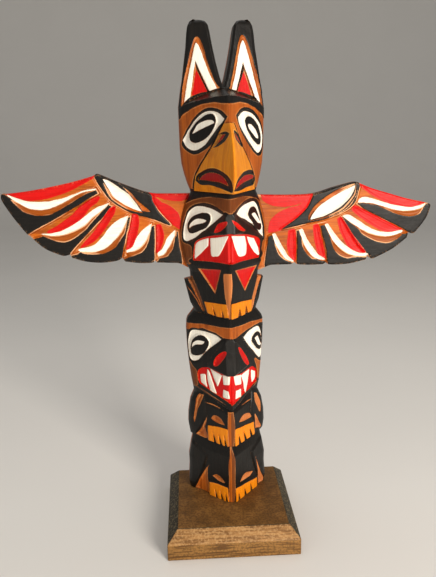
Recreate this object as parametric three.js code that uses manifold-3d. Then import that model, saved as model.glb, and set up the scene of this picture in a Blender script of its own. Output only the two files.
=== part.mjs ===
// Model totem pole: a pole carved from one wedge of wood, with a glued-on beak,
// two carved board wings let into its sides, and a square chamfered base block.
// Millimetres. +Z is up, -Y is the front, +X is the viewer's right.
// The origin is the centre of the base's underside.

import * as THREE from 'three';
import { mergeVertices } from 'three/addons/utils/BufferGeometryUtils.js';
import Module from 'manifold-3d';

const wasm = await Module();
wasm.setup();

// Driving dimensions of the base, a cut of board 89 mm wide and 19 mm thick
const BASE_SIDE = 89;
const BASE_THICK = 19;
const CHAMFER_WIDE = 7;
const CHAMFER_HIGH = 7.5;
const BASE_CORNER = 1.5;

// Driving dimensions of the pole
const GAP = 0.3;
const REACH = 60;
const POLE_FOOT = BASE_THICK + GAP;
const POLE_BACK = 25.5;
const POLE_TURN = THREE.MathUtils.degToRad(4);
const POLE_SHIFT = 0.7;
const BACK_ROUND = 2.4;
const FLANK_COLUMNS = 8;
const LEVEL_STEP = 4;

// Driving dimensions of the wings and of the rebates that hold them
const WING_THICK = 6.4;
const MASK_BACK = 18.3;
const WING_ROOT = 20.8;
const GROOVE_WIDE = 2.4;
const GROOVE_DEEP = 1.8;
const HOLLOW_DEEP = 1.0;

// Driving dimensions of the beak and of the sloping cut that it is glued to
const BEAK_TOP = 280.3;
const BEAK_FOOT = 238.6;
const SEAT = [
  { z: BEAK_FOOT, y: 9.8 },
  { z: 248, y: 7.4 },
  { z: 256, y: 1.9 },
  { z: 266, y: -6.2 },
  { z: BEAK_TOP, y: -14.8 },
];
const BEAK_LEVELS = 14;
const BEAK_COLUMNS = 4;

// Carving depths
const SOFT_EDGE = 2;
const SOCKET_DEEP = 1.8;
const MOUTH_DEEP = 1.6;
const SLIVER_DEEP = 1.6;
const NOSTRIL_DEEP = 1.2;
const CLAW_RISE = 1.6;
const NOSE_RISE = 2;
const LOBE_RISE = 1.4;
const SLIT_WIDE = 1.5;
const SLIT_DEEP = 1.6;

// The tail's flaps stand out at the sides between two heights. Inside them the flank keeps one slope.
const TAIL_FOOT = 156.2;
const TAIL_TOP = 177.8;
const TAIL_SLOPE = 1.356;
const FLAP_SLOPE = 0.44;

// Stations up the pole: height, half width, ridge y at the centre, corner y at the side.
// Two stations close together are a step in the carving.
const FEET_AND_LEGS = [
  { z: POLE_FOOT, half: 27.6, ridge: -11, corner: 17 },
  { z: 24, half: 28.6, ridge: -11, corner: 17.5 },
  { z: 36, half: 27.8, ridge: -11, corner: 17.5 },
  { z: 44, half: 28, ridge: -11, corner: 17.5 },
  { z: 54, half: 26.2, ridge: -11, corner: 17 },
];
const HANDS_AND_ARMS = [
  { z: 61.6, half: 24.6, ridge: -5, corner: 17 },
  { z: 62.4, half: 26.6, ridge: -10.5, corner: 17 },
  { z: 70, half: 27.8, ridge: -10.5, corner: 17.5 },
  { z: 78, half: 27.5, ridge: -10.5, corner: 17.5 },
  { z: 88, half: 25.8, ridge: -10.5, corner: 17 },
];
const LOWER_MASK = [
  { z: 94.4, half: 23, ridge: -7, corner: 16 },
  { z: 95.4, half: 23.2, ridge: -13, corner: 15.5 },
  { z: 104, half: 24.6, ridge: -13, corner: 16.5 },
  { z: 116, half: 26, ridge: -12.5, corner: 17.5 },
  { z: 128, half: 27, ridge: -11, corner: 17.5 },
  { z: 142, half: 27.4, ridge: -10, corner: 17.5 },
  { z: 147.6, half: 27, ridge: -10, corner: 17 },
  { z: 148.4, half: 27, ridge: -13.5, corner: 17 },
  { z: 150, half: 26.2, ridge: -13.5, corner: 17 },
];
const TAIL_AND_BREAST = [
  { z: 155.6, half: 22, ridge: -11, corner: 15 },
  { z: 156.2, half: 21.4, ridge: -16, corner: 13 },
  { z: 162, half: 24.2, ridge: -16, corner: 15 },
  { z: 177.4, half: 27.7, ridge: -16.5, corner: 17 },
  { z: 178.2, half: 23.2, ridge: -16.5, corner: 15 },
  { z: 184, half: 23.6, ridge: -16.5, corner: 15 },
  { z: 189, half: 26.2, ridge: -17, corner: 16 },
];
const UPPER_MASK = [
  { z: 192.6, half: 27.4, ridge: -17, corner: 17 },
  { z: 193.4, half: 27.8, ridge: -19.5, corner: 17 },
  { z: 205, half: 29.6, ridge: -19, corner: 17.5 },
  { z: 213, half: 29.5, ridge: -19, corner: 17.5 },
  { z: 221, half: 28.2, ridge: -18, corner: 17.5 },
  { z: 228.5, half: 26, ridge: -17.5, corner: 17 },
  { z: 231.4, half: 24.6, ridge: -17.5, corner: 16 },
  { z: 232.2, half: 24.2, ridge: -19, corner: 16 },
  { z: 237.4, half: 21.8, ridge: -18, corner: 14 },
];
const HEAD = [
  { z: 238.4, half: 21.8, ridge: -19, corner: 12 },
  { z: 243, half: 23.6, ridge: -19, corner: 13.5 },
  { z: 249, half: 25.4, ridge: -19, corner: 15.5 },
  { z: 256, half: 27, ridge: -19, corner: 17 },
  { z: 266, half: 27.8, ridge: -19, corner: 17.5 },
  { z: 290.8, half: 28.1, ridge: -18.4, corner: 17.5 },
  { z: 291.8, half: 28.1, ridge: -20.2, corner: 17 },
  { z: 295, half: 27.6, ridge: -19.8, corner: 16.5 },
  { z: 302.6, half: 26.4, ridge: 4.2, corner: 14.5 },
];
const STATIONS = [
  ...FEET_AND_LEGS,
  ...HANDS_AND_ARMS,
  ...LOWER_MASK,
  ...TAIL_AND_BREAST,
  ...UPPER_MASK,
  ...HEAD,
];

// Each ear stands up from the crown. Inner and outer edges at heights, and the slope of its face.
const CROTCH_Z = 302.6;
const EAR_FACE_Y = 5;
const EAR_FACE_TURN = 0.35;
const EAR_FACE_LEAN = 0.12;
const EAR_BACK_LEAN = 0.1;
const EAR_EDGES = [
  { z: CROTCH_Z, inner: 0, outer: 26.4 },
  { z: 309, inner: 2, outer: 25.2 },
  { z: 318, inner: 4.1, outer: 23.9 },
  { z: 328, inner: 6, outer: 22.4 },
  { z: 337, inner: 7.6, outer: 21.3 },
  { z: 341, inner: 8.5, outer: 20.5 },
  { z: 343.6, inner: 10.4, outer: 19 },
  { z: 344.7, inner: 12.8, outer: 17 },
];

// Carved shapes on one flank of the pole, as outlines of [distance from the ridge, height].
// The other flank mirrors them, and a shape that meets the ridge starts just past it.
const PAST_RIDGE = -0.3;
const EYES = [
  {
    rim: [[1.6, 284.2], [5.4, 287.8], [11, 289.8], [18, 287.4], [24, 280.6], [26.4, 271], [24.4, 264],
      [20.6, 262], [14.6, 264.4], [8.4, 271.4]],
    ball: [[8, 281.6], [10.4, 284.2], [16, 282.6], [22, 274.4], [22.4, 268.2], [19.6, 267], [13.4, 270.6],
      [9, 276.6]],
  },
  {
    rim: [[4.6, 224.7], [10.6, 228.6], [17.6, 229.4], [23.4, 224.4], [26.6, 214], [27, 205.6], [22, 207],
      [15, 212], [10, 217.6]],
    ball: [[12.4, 220.6], [14.6, 223.6], [18.6, 223], [23, 216.4], [24.2, 210.6], [18.6, 212.6], [14, 216.6]],
  },
  {
    rim: [[8.2, 139.4], [15, 141.6], [22.6, 141.8], [25.4, 135], [25.6, 124], [24.4, 118.4], [18.6, 123.6],
      [12.6, 131.4]],
    ball: [[14.4, 136.4], [18, 138.4], [22.4, 137], [24.6, 129], [23.4, 123.6], [19.4, 126], [15.4, 131]],
  },
];
const MOUTHS = [
  [[PAST_RIDGE, 211.9], [12.2, 209.7], [22.3, 205.4], [23.9, 193.8], [21.4, 193], [PAST_RIDGE, 194.8]],
  [[PAST_RIDGE, 114.6], [4, 114.6], [9, 113.8], [14.7, 116], [20.4, 113], [20.4, 102.4],
    [PAST_RIDGE, 96.4]],
];
const NOSTRILS = [
  [[2.2, 220.8], [4.4, 221], [9.6, 214.6], [7, 213.4]],
  [[3.8, 131.6], [6.8, 132], [14, 119.4], [10, 119]],
];
const BREAST_TRIANGLE = [[4.8, 188.4], [19, 186.4], [10.2, 172]];
const SLIVERS = [
  [[22.6, 186.6], [24.2, 178], [18.2, 157.4], [16.6, 157.6]],
  [[16.2, 94], [18.2, 94], [24.2, 73.6], [22.4, 75]],
  [[15, 80], [22.6, 64.4], [16.6, 64.4]],
  [[15, 41.7], [24.4, 22.4], [16.4, 22.4]],
  [[6, 78.4], [11, 81.6], [15.4, 80.4], [11, 77.4]],
  [[6, 33], [11, 36], [15.4, 34.4], [11, 31.4]],
];
const CLAW_ROWS = [
  {
    block: [[0, 165.8], [2.2, 166], [17.4, 163.6], [16, 154], [0, 154]],
    slits: [6, 10.8],
    top: 162.4,
    foot: 155,
  },
  {
    block: [[0, 74.5], [2.2, 74.4], [17, 72.8], [17, 60], [0, 60]],
    slits: [5.2, 9.2, 13.4],
    top: 70.4,
    foot: 61,
  },
  {
    block: [[0, 28.6], [2.2, 28.6], [17.8, 27.2], [18.2, 17], [0, 17]],
    slits: [5.4, 9.5, 13.9],
    top: 25.4,
    foot: 17,
  },
];
const NOSES = [
  [[-8, 226], [2.4, 226], [9, 214.5], [9, 211.8], [-8, 211.8]],
  [[-8, 141], [2.6, 141], [14, 118.4], [5, 114.6], [-8, 114.6]],
];
const LOBES = [
  [[17.5, 97], [26, 92], [30, 76], [28, 63], [22.6, 63.6], [16.4, 80]],
  [[15.6, 50], [30, 54], [30, 20], [24.6, 20], [16, 40]],
];

// Wing outlines on the front view, from the root's top round the tip and back to the root's foot,
// as [distance from the pole's centre line, height]. Each notch is where two feathers part.
const LEFT_WING = {
  side: -1,
  leading: [[WING_ROOT, 236], [49.5, 237.3], [82.8, 250.4], [85.7, 249], [113.3, 242.8], [141.4, 238.8]],
  feathers: [
    { tip: [[145.1, 238.8], [144.4, 233.6], [131, 212.6]], notch: [128.9, 211.2], groove: [83.6, 236.3] },
    { tip: [[126.9, 208.4], [110.2, 197.6]], notch: [104, 197.6], groove: [73.6, 228.3] },
    { tip: [[103, 195.4], [84.8, 191.4], [71.5, 192.6]], notch: [69.5, 194], groove: [61.8, 222.4] },
    { tip: [[67.6, 191.6], [49.2, 189.8]], notch: [47.5, 191.4], groove: [46.4, 215.5] },
    { tip: [[46, 189.8], [WING_ROOT, 188.8]], notch: null, groove: null },
  ],
  shoulder: [[82.8, 250.4], [49.3, 237.2], [36.6, 215.5], [64.2, 225], [75.6, 232.5], [82.5, 241.4]],
  lens: [[79.2, 246.7], [66, 241.4], [57.6, 232], [54.9, 226.5], [66, 230], [74.6, 237.4]],
  band: [[83.4, 241], [76, 231.6], [64.4, 224], [37, 214.4], [46.6, 213], [61, 219.4], [73, 226.2],
    [84.5, 235]],
};
const RIGHT_WING = {
  side: 1,
  leading: [[WING_ROOT, 234.4], [64, 233.6], [93.7, 240.8], [118.6, 232.4], [143.2, 225.8]],
  feathers: [
    { tip: [[148.4, 224.2], [148, 220.4], [138.6, 204.4]], notch: [133.7, 204], groove: [92.5, 225] },
    { tip: [[132.6, 200.4], [109.2, 186.8]], notch: [103.8, 188.4], groove: [82.3, 216] },
    { tip: [[102.6, 185.8], [76.6, 183.4]], notch: [73.5, 185], groove: [66.6, 211.4] },
    { tip: [[71.4, 183.8], [53.1, 184.6]], notch: [50.5, 186], groove: [49.3, 208.5] },
    { tip: [[48, 184.8], [WING_ROOT, 185.6]], notch: null, groove: null },
  ],
  shoulder: [[93.7, 240.8], [64, 233.4], [40.6, 210.2], [70.1, 213.8], [86.4, 220.9], [93.2, 230.8]],
  lens: [[91.2, 238.4], [78, 235.4], [67, 227], [60.5, 216.7], [74, 220.6], [86, 228.6]],
  band: [[92.6, 229.6], [86, 219.8], [70, 212.6], [41, 208.6], [49.4, 205.6], [66.8, 208.4], [81.6, 213.4],
    [92, 222.6]],
};

const woodMaterial = (name, color, roughness) => {
  const material = new THREE.MeshStandardMaterial({ color, roughness, metalness: 0 });
  material.name = name;
  return material;
};
const stainedWood = woodMaterial('stained wood', 0x9a4d1c, 0.5);
const beakWood = woodMaterial('yellow stained wood', 0xd98a1e, 0.45);
const wingPaint = woodMaterial('painted wood', 0xb5382a, 0.5);
const baseWood = woodMaterial('dark stained wood', 0x5b3a1e, 0.65);

// Reads a value between the two entries of a list that stand below and above the height z.
const between = (list, z, key) => {
  if (z <= list[0].z) return list[0][key];
  const upper = list.findIndex((entry) => entry.z >= z);
  if (upper < 0) return list[list.length - 1][key];
  const low = list[upper - 1];
  const high = list[upper];
  return THREE.MathUtils.mapLinear(z, low.z, high.z, low[key], high[key]);
};

// Distance from a point to an outline on the front view: positive inside, negative outside.
const depthInside = (outline, x, z) => {
  let nearest = Infinity;
  let inside = false;
  outline.forEach(([ax, az], index) => {
    const [bx, bz] = outline[(index + 1) % outline.length];
    const along = THREE.MathUtils.clamp(
      ((x - ax) * (bx - ax) + (z - az) * (bz - az)) / ((bx - ax) ** 2 + (bz - az) ** 2), 0, 1);
    nearest = Math.min(nearest, Math.hypot(ax + along * (bx - ax) - x, az + along * (bz - az) - z));
    const crosses = (az > z) !== (bz > z);
    if (crosses && x < ax + ((z - az) / (bz - az)) * (bx - ax)) inside = !inside;
  });
  return inside ? nearest : -nearest;
};

// A step of the given rise inside an outline, with a soft edge.
const step = (outline, x, z, rise) =>
  rise * THREE.MathUtils.smoothstep(depthInside(outline, x, z), -SOFT_EDGE / 2, SOFT_EDGE / 2);

// How far the rounded forms stand proud of the flank at a point of the front view.
const proudness = (x, z) => {
  const forms = [
    ...CLAW_ROWS.map(({ block }) => [block, CLAW_RISE]),
    ...NOSES.map((outline) => [outline, NOSE_RISE]),
    ...LOBES.map((outline) => [outline, LOBE_RISE]),
  ];
  return forms.reduce((total, [outline, rise]) => total + step(outline, x, z, rise), 0);
};

// The y of the pole's front at a distance x from the ridge and a height z, below the crotch.
const flankY = (x, z) => {
  const out = Math.abs(x);
  const ridge = between(STATIONS, z, 'ridge');
  const corner = between(STATIONS, z, 'corner');
  const half = between(STATIONS, z, 'half');
  const plain = ridge + (corner - ridge) * (out / half);
  const tail = Math.min(ridge + TAIL_SLOPE * out, corner - FLAP_SLOPE * (half - out));
  return (z > TAIL_FOOT && z < TAIL_TOP ? tail : plain) - proudness(x, z);
};

const earFaceY = (x, z) => EAR_FACE_Y + EAR_FACE_TURN * x + EAR_FACE_LEAN * (z - CROTCH_Z);

// Heights of the rings: every station, and more between them where they lie far apart.
const ringHeights = (list) => {
  const heights = [list[0].z];
  list.slice(1).forEach((entry, index) => {
    const low = list[index].z;
    const count = Math.ceil((entry.z - low) / LEVEL_STEP);
    for (let part = 1; part <= count; part += 1) heights.push(low + ((entry.z - low) * part) / count);
  });
  return heights;
};

// One half of a ring at height z, from the inner front edge round the side to the inner back edge.
const halfRing = (z) => {
  const onEar = z > CROTCH_Z;
  const inner = onEar ? between(EAR_EDGES, z, 'inner') : 0;
  const outer = onEar ? between(EAR_EDGES, z, 'outer') : between(STATIONS, z, 'half');
  const back = POLE_BACK - (onEar ? EAR_BACK_LEAN * (z - CROTCH_Z) : 0);
  const ring = [];
  for (let column = 0; column <= FLANK_COLUMNS; column += 1) {
    const x = inner + ((outer - inner) * column) / FLANK_COLUMNS;
    ring.push([x, onEar ? earFaceY(x, z) : flankY(x, z), z]);
  }
  ring.push([outer, back - BACK_ROUND, z]);
  ring.push([outer - BACK_ROUND, back, z]);
  ring.push([inner, back, z]);
  return ring;
};

// Collects shared points and triangles, and returns them as an indexed geometry.
class Skin {
  constructor() {
    this.points = [];
    this.faces = [];
  }

  add(point) {
    this.points.push(point);
    return this.points.length - 1;
  }

  quad(a, b, c, d) {
    this.faces.push([a, b, c], [a, c, d]);
  }

  geometry() {
    const corners = this.faces
      .filter(([a, b, c]) => a !== b && b !== c && a !== c)
      .flatMap((face) => face.flatMap((index) => this.points[index]));
    const loose = new THREE.BufferGeometry();
    loose.setAttribute('position', new THREE.Float32BufferAttribute(corners, 3));
    return mergeVertices(loose, 1e-4);
  }
}

// Turns a closed geometry into a solid for cutting, and back.
const toSolid = (geometry) => {
  const bare = geometry.clone();
  bare.deleteAttribute('normal');
  bare.deleteAttribute('uv');
  const merged = mergeVertices(bare, 1e-4);
  return new wasm.Manifold(new wasm.Mesh({
    numProp: 3,
    vertProperties: new Float32Array(merged.attributes.position.array),
    triVerts: new Uint32Array(merged.index.array),
  }));
};
const toGeometry = (solid) => {
  const mesh = solid.getMesh();
  const geometry = new THREE.BufferGeometry();
  geometry.setAttribute('position', new THREE.BufferAttribute(new Float32Array(mesh.vertProperties), 3));
  geometry.setIndex(new THREE.BufferAttribute(new Uint32Array(mesh.triVerts), 1));
  geometry.computeVertexNormals();
  return geometry;
};

// A prism of a front-view outline, between two y values.
const frontPrism = (outline, frontY, backY) => {
  const shape = new THREE.Shape(outline.map(([x, z]) => new THREE.Vector2(x, z)));
  const prism = new THREE.ExtrudeGeometry(shape, { depth: backY - frontY, bevelEnabled: false });
  prism.rotateX(Math.PI / 2);
  prism.translate(0, backY, 0);
  return prism;
};

// A prism of a side-view outline of [y, z], between two x values.
const sidePrism = (outline, lowX, highX) => {
  const shape = new THREE.Shape(outline.map(([y, z]) => new THREE.Vector2(y, z)));
  const prism = new THREE.ExtrudeGeometry(shape, { depth: highX - lowX, bevelEnabled: false });
  prism.rotateX(Math.PI / 2);
  prism.rotateZ(Math.PI / 2);
  prism.translate(lowX, 0, 0);
  return prism;
};

// The whole column: two half skins that share the centre line up to the crotch,
// and part above it into two ears.
const columnGeometry = () => {
  const skin = new Skin();
  const heights = [...ringHeights(STATIONS), ...ringHeights(EAR_EDGES).slice(1)];
  [1, -1].forEach((side) => {
    const rings = heights.map((z) => halfRing(z).map(([x, y, height]) => skin.add([side * x, y, height])));
    const quad = (a, b, c, d) => (side > 0 ? skin.quad(a, b, c, d) : skin.quad(d, c, b, a));
    rings.slice(1).forEach((upper, index) => {
      const lower = rings[index];
      for (let point = 0; point < lower.length - 1; point += 1) {
        quad(lower[point], lower[point + 1], upper[point + 1], upper[point]);
      }
      if (heights[index + 1] > CROTCH_Z) {
        const last = lower.length - 1;
        quad(lower[last], lower[0], upper[0], upper[last]);
      }
    });
    capRing(skin, rings[0], side, [0, 8, heights[0]], false);
    const tip = EAR_EDGES.at(-1);
    const tipX = (tip.inner + tip.outer) / 2;
    const tipY = (earFaceY(tipX, tip.z) + POLE_BACK) / 2;
    capRing(skin, rings.at(-1), side, [side * tipX, tipY, tip.z], true);
  });
  return skin.geometry();
};

// Closes a ring with a fan of triangles to a centre point. An upper ring is closed all round.
const capRing = (skin, ring, side, centre, isUpper) => {
  const hub = skin.add(centre);
  const outward = (side > 0) === isUpper;
  const count = isUpper ? ring.length : ring.length - 1;
  for (let point = 0; point < count; point += 1) {
    const next = ring[(point + 1) % ring.length];
    skin.faces.push(outward ? [ring[point], next, hub] : [next, ring[point], hub]);
  }
};

const seatY = (z) => between(SEAT, z, 'y');

// A cutter whose front is far ahead, and whose floor lies at a depth below a carved surface.
const pocket = (outline, surface, depth, side, island = null) => {
  const toShape = (points, Kind) => new Kind(points.map(([x, z]) => new THREE.Vector2(side * x, z)));
  const shape = toShape(outline, THREE.Shape);
  if (island) shape.holes.push(toShape([...island].reverse(), THREE.Path));
  const cutter = new THREE.ExtrudeGeometry(shape, { depth: REACH, bevelEnabled: false });
  cutter.rotateX(Math.PI / 2);
  const places = cutter.attributes.position;
  for (let index = 0; index < places.count; index += 1) {
    const isFloor = places.getY(index) > -REACH / 2;
    const floor = surface(side * places.getX(index), places.getZ(index)) + depth;
    places.setY(index, isFloor ? floor : -REACH);
  }
  return toSolid(cutter);
};

// Everything cut into one flank with straight-sided pockets and V slits.
const flankCutters = (side) => [
  ...EYES.map(({ rim, ball }) => pocket(rim, flankY, SOCKET_DEEP, side, ball)),
  ...MOUTHS.map((outline) => pocket(outline, flankY, MOUTH_DEEP, side)),
  ...NOSTRILS.map((outline) => pocket(outline, flankY, NOSTRIL_DEEP, side)),
  ...SLIVERS.map((outline) => pocket(outline, flankY, SLIVER_DEEP, side)),
  pocket(BREAST_TRIANGLE, flankY, NOSTRIL_DEEP, side),
  ...CLAW_ROWS.flatMap(({ slits, top, foot }) => slits.map((place) => {
    const slit = [[place - SLIT_WIDE / 2, foot], [place + SLIT_WIDE / 2, foot], [place, top]];
    return pocket(slit, flankY, SLIT_DEEP, side);
  })),
];

const poleGeometry = () => {
  const foot = BEAK_FOOT - GAP;
  const seatCut = sidePrism([
    [-REACH, foot],
    [SEAT[0].y, foot],
    ...SEAT.slice(1).map(({ y, z }) => [y, z]),
    [-REACH, BEAK_TOP],
  ], -REACH, REACH);
  let solid = toSolid(columnGeometry()).subtract(toSolid(seatCut));
  [1, -1].forEach((side) => {
    flankCutters(side).forEach((cutter) => { solid = solid.subtract(cutter); });
  });
  [LEFT_WING, RIGHT_WING].forEach((wing) => {
    const top = wing.leading[0][1] + 2;
    const bottom = wing.feathers[4].tip[1][1] - GAP;
    const near = wing.side * (WING_ROOT - GAP);
    const far = wing.side * REACH;
    const rebate = [[near, bottom], [far, bottom], [far, top], [near, top]];
    const outline = wing.side > 0 ? rebate : rebate.reverse();
    solid = solid.subtract(toSolid(frontPrism(outline, MASK_BACK, REACH)));
  });
  return toGeometry(solid);
};

// The beak: a heightfield from its ridge back to the sloping seat.
// Ridge stations go down from the bridge to the hooked tip.
const BEAK_RIDGE = [
  { z: BEAK_FOOT, y: -31 },
  { z: 241.5, y: -35 },
  { z: 246, y: -37.4 },
  { z: 254, y: -37.8 },
  { z: 263, y: -35.6 },
  { z: 271, y: -31 },
  { z: BEAK_TOP - GAP, y: -22.5 },
];
const BEAK_MOUTH = [[2, 241.6], [4.4, 248.6], [9.5, 252.2], [14, 251.2], [17.6, 246.6], [11.6, 243]];
const BEAK_NOSTRIL = [[2.8, 274.6], [5.6, 273.6], [8.6, 266.6], [5.8, 268]];

const beakHalf = (z) => {
  const ridge = between(STATIONS, z, 'ridge');
  const corner = between(STATIONS, z, 'corner');
  return (between(STATIONS, z, 'half') * (seatY(z) - ridge)) / (corner - ridge);
};

const beakY = (x, z) => {
  const ridge = between(BEAK_RIDGE, z, 'y');
  return ridge + (seatY(z) - GAP - ridge) * (Math.abs(x) / beakHalf(z));
};

const beakGeometry = () => {
  const skin = new Skin();
  const top = BEAK_TOP - GAP;
  const rings = [];
  for (let level = 0; level <= BEAK_LEVELS; level += 1) {
    const z = BEAK_FOOT + ((top - BEAK_FOOT) * level) / BEAK_LEVELS;
    const half = beakHalf(z);
    const ring = [];
    for (let column = -BEAK_COLUMNS; column <= BEAK_COLUMNS; column += 1) {
      const x = (half * column) / BEAK_COLUMNS;
      ring.push(skin.add([x, beakY(x, z), z]));
    }
    rings.push(ring);
  }
  rings.slice(1).forEach((upper, index) => {
    const lower = rings[index];
    lower.forEach((point, place) => {
      const next = (place + 1) % lower.length;
      skin.quad(point, lower[next], upper[next], upper[place]);
    });
  });
  const footY = (seatY(BEAK_FOOT) - GAP + BEAK_RIDGE[0].y) / 2;
  const topY = (seatY(top) - GAP + BEAK_RIDGE.at(-1).y) / 2;
  capRing(skin, [...rings[0], rings[0][0]], 1, [0, footY, BEAK_FOOT], false);
  capRing(skin, rings.at(-1), 1, [0, topY, top], true);
  let solid = toSolid(skin.geometry());
  [1, -1].forEach((side) => {
    solid = solid.subtract(pocket(BEAK_MOUTH, beakY, MOUTH_DEEP, side));
    solid = solid.subtract(pocket(BEAK_NOSTRIL, beakY, NOSTRIL_DEEP, side));
  });
  return toGeometry(solid);
};

// A point part of the way between two points of the front view.
const blend = (a, b, share) => [a[0] + (b[0] - a[0]) * share, a[1] + (b[1] - a[1]) * share];

// The edges of the crescent hollowed along a feather, as shares [along it, across it].
const CRESCENT = [
  [0.08, 0.74], [0.3, 0.46], [0.6, 0.22], [0.92, 0.05],
  [0.94, 0.16], [0.76, 0.46], [0.5, 0.7], [0.22, 0.86],
];

// A wing: a board sawn to its outline, with V grooves between the feathers, a crescent hollow
// along each feather, a hollow lens in the shoulder and a shallow band below the shoulder.
const wingGeometry = (wing) => {
  const place = ([x, z]) => [wing.side * x, z];
  const front = MASK_BACK + GAP;
  const counterClockwise = (outline) => {
    const points = outline.map(place);
    const area = THREE.ShapeUtils.area(points.map(([x, z]) => new THREE.Vector2(x, z)));
    return area > 0 ? points : points.reverse();
  };
  const outline = [
    ...wing.leading,
    ...wing.feathers.flatMap(({ tip, notch }) => (notch ? [...tip, notch] : tip)),
  ];
  let solid = toSolid(frontPrism(counterClockwise(outline), front, front + WING_THICK));
  const hollow = (shape) => {
    const cutter = frontPrism(counterClockwise(shape), front - 1, front + HOLLOW_DEEP);
    solid = solid.subtract(toSolid(cutter));
  };
  hollow(wing.lens);
  hollow(wing.band);
  wing.feathers.forEach((feather, index) => {
    const previous = wing.feathers[index - 1];
    const above = previous
      ? { inner: previous.groove, outer: previous.notch }
      : { inner: wing.leading[2], outer: wing.leading.at(-1) };
    const below = feather.notch
      ? { inner: feather.groove, outer: feather.notch }
      : { inner: [WING_ROOT + 9, 208], outer: [WING_ROOT + 9, feather.tip[1][1]] };
    hollow(CRESCENT.map(([along, across]) =>
      blend(blend(above.inner, above.outer, along), blend(below.inner, below.outer, along), across)));
    if (feather.notch) solid = solid.subtract(toSolid(grooveCutter(feather, place, front)));
  });
  return toGeometry(solid);
};

// A long V-shaped cutter along the line between two feathers.
const grooveCutter = ({ notch, groove }, place, front) => {
  const start = new THREE.Vector2(...place(groove));
  const end = new THREE.Vector2(...place(notch));
  const length = start.distanceTo(end) + GROOVE_WIDE;
  const section = new THREE.Shape([
    new THREE.Vector2(-GROOVE_WIDE / 2, -1),
    new THREE.Vector2(GROOVE_WIDE / 2, -1),
    new THREE.Vector2(0, GROOVE_DEEP),
  ]);
  const cutter = new THREE.ExtrudeGeometry(section, { depth: length, bevelEnabled: false });
  const along = new THREE.Vector3(end.x - start.x, 0, end.y - start.y).normalize();
  const inward = new THREE.Vector3(0, 1, 0);
  const across = new THREE.Vector3().crossVectors(inward, along);
  const placement = new THREE.Matrix4().makeBasis(across, inward, along);
  placement.setPosition(start.x, front, start.y);
  return cutter.applyMatrix4(placement);
};

// The base: a square block whose top edges are chamfered, with slightly rounded upright corners.
const baseGeometry = () => {
  const skin = new Skin();
  const ringAt = (side, z) => {
    const half = side / 2;
    const cut = half - BASE_CORNER;
    const corners = [
      [-cut, -half], [cut, -half], [half, -cut], [half, cut],
      [cut, half], [-cut, half], [-half, cut], [-half, -cut],
    ];
    return corners.map(([x, y]) => skin.add([x, y, z]));
  };
  const rings = [
    ringAt(BASE_SIDE, 0),
    ringAt(BASE_SIDE, BASE_THICK - CHAMFER_HIGH),
    ringAt(BASE_SIDE - 2 * CHAMFER_WIDE, BASE_THICK),
  ];
  rings.slice(1).forEach((upper, index) => {
    rings[index].forEach((point, place) => {
      const next = (place + 1) % upper.length;
      skin.quad(point, rings[index][next], upper[next], upper[place]);
    });
  });
  capRing(skin, [...rings[0], rings[0][0]], 1, [0, 0, 0], false);
  capRing(skin, rings[2], 1, [0, 0, BASE_THICK], true);
  return skin.geometry();
};

const mesh = (name, geometry, material) => {
  const flat = geometry.index ? geometry : mergeVertices(geometry);
  flat.computeVertexNormals();
  const result = new THREE.Mesh(flat, material);
  result.name = name;
  return result;
};

const totem = new THREE.Group();
totem.add(mesh('base', baseGeometry(), baseWood));

const figure = new THREE.Group();
figure.position.set(POLE_SHIFT, 0, 0);
figure.rotation.z = POLE_TURN;
figure.add(mesh('pole', poleGeometry(), stainedWood));
figure.add(mesh('beak', beakGeometry(), beakWood));
figure.add(mesh('wing_left', wingGeometry(LEFT_WING), wingPaint));
figure.add(mesh('wing_right', wingGeometry(RIGHT_WING), wingPaint));
totem.add(figure);

export default totem;
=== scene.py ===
# %% [markdown]
# # A carved and painted totem pole
#
# The real object is a souvenir about 345 mm tall. One wedge of wood is carved with a knife into an
# eared bird's head, two masks, arms and legs. A beak is glued to the head, two board wings are glued
# to the sides, and it all stands on a square base.
#
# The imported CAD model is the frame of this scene. Every piece made here stands exactly where its CAD
# node stands, and only adds the fine carving, the paint, the stain and the grain.

# %% Load the frame
import math

import bpy
import numpy as np
from mathutils import Matrix, Vector, noise
from mathutils.geometry import delaunay_2d_cdt


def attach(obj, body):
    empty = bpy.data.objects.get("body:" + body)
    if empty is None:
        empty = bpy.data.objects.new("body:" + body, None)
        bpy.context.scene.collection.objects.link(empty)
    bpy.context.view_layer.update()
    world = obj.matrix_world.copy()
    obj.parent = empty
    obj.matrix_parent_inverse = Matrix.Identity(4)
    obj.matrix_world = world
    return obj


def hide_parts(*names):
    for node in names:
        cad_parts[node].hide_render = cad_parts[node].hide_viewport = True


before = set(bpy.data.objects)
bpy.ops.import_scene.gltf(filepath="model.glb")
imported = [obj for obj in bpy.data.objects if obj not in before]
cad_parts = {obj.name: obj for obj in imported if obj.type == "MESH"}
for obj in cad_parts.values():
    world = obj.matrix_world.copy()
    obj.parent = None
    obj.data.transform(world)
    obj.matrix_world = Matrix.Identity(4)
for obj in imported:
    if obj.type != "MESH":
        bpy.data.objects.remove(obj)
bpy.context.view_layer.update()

print("CAD nodes:", sorted(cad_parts))

# %% [markdown]
# ## Camera
#
# The picture was taken from a little above and to the left, quite close, so near things look larger.
# A camera's matrix holds its own right, up and back directions as columns. Building it from a turn, a
# tilt and a roll is plainer than aiming it with a constraint, and it can't drift.

# %% Camera
MM = 0.001
CAMERA_PLACE = Vector((-24.9, -391.0, 266.4)) * MM
CAMERA_YAW = math.radians(2.8)
CAMERA_PITCH = math.radians(13.29)
CAMERA_ROLL = math.radians(1.06)
PICTURE_HIGH_PX = 577
FOCAL_PX = 600
SENSOR_MM = 36

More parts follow.
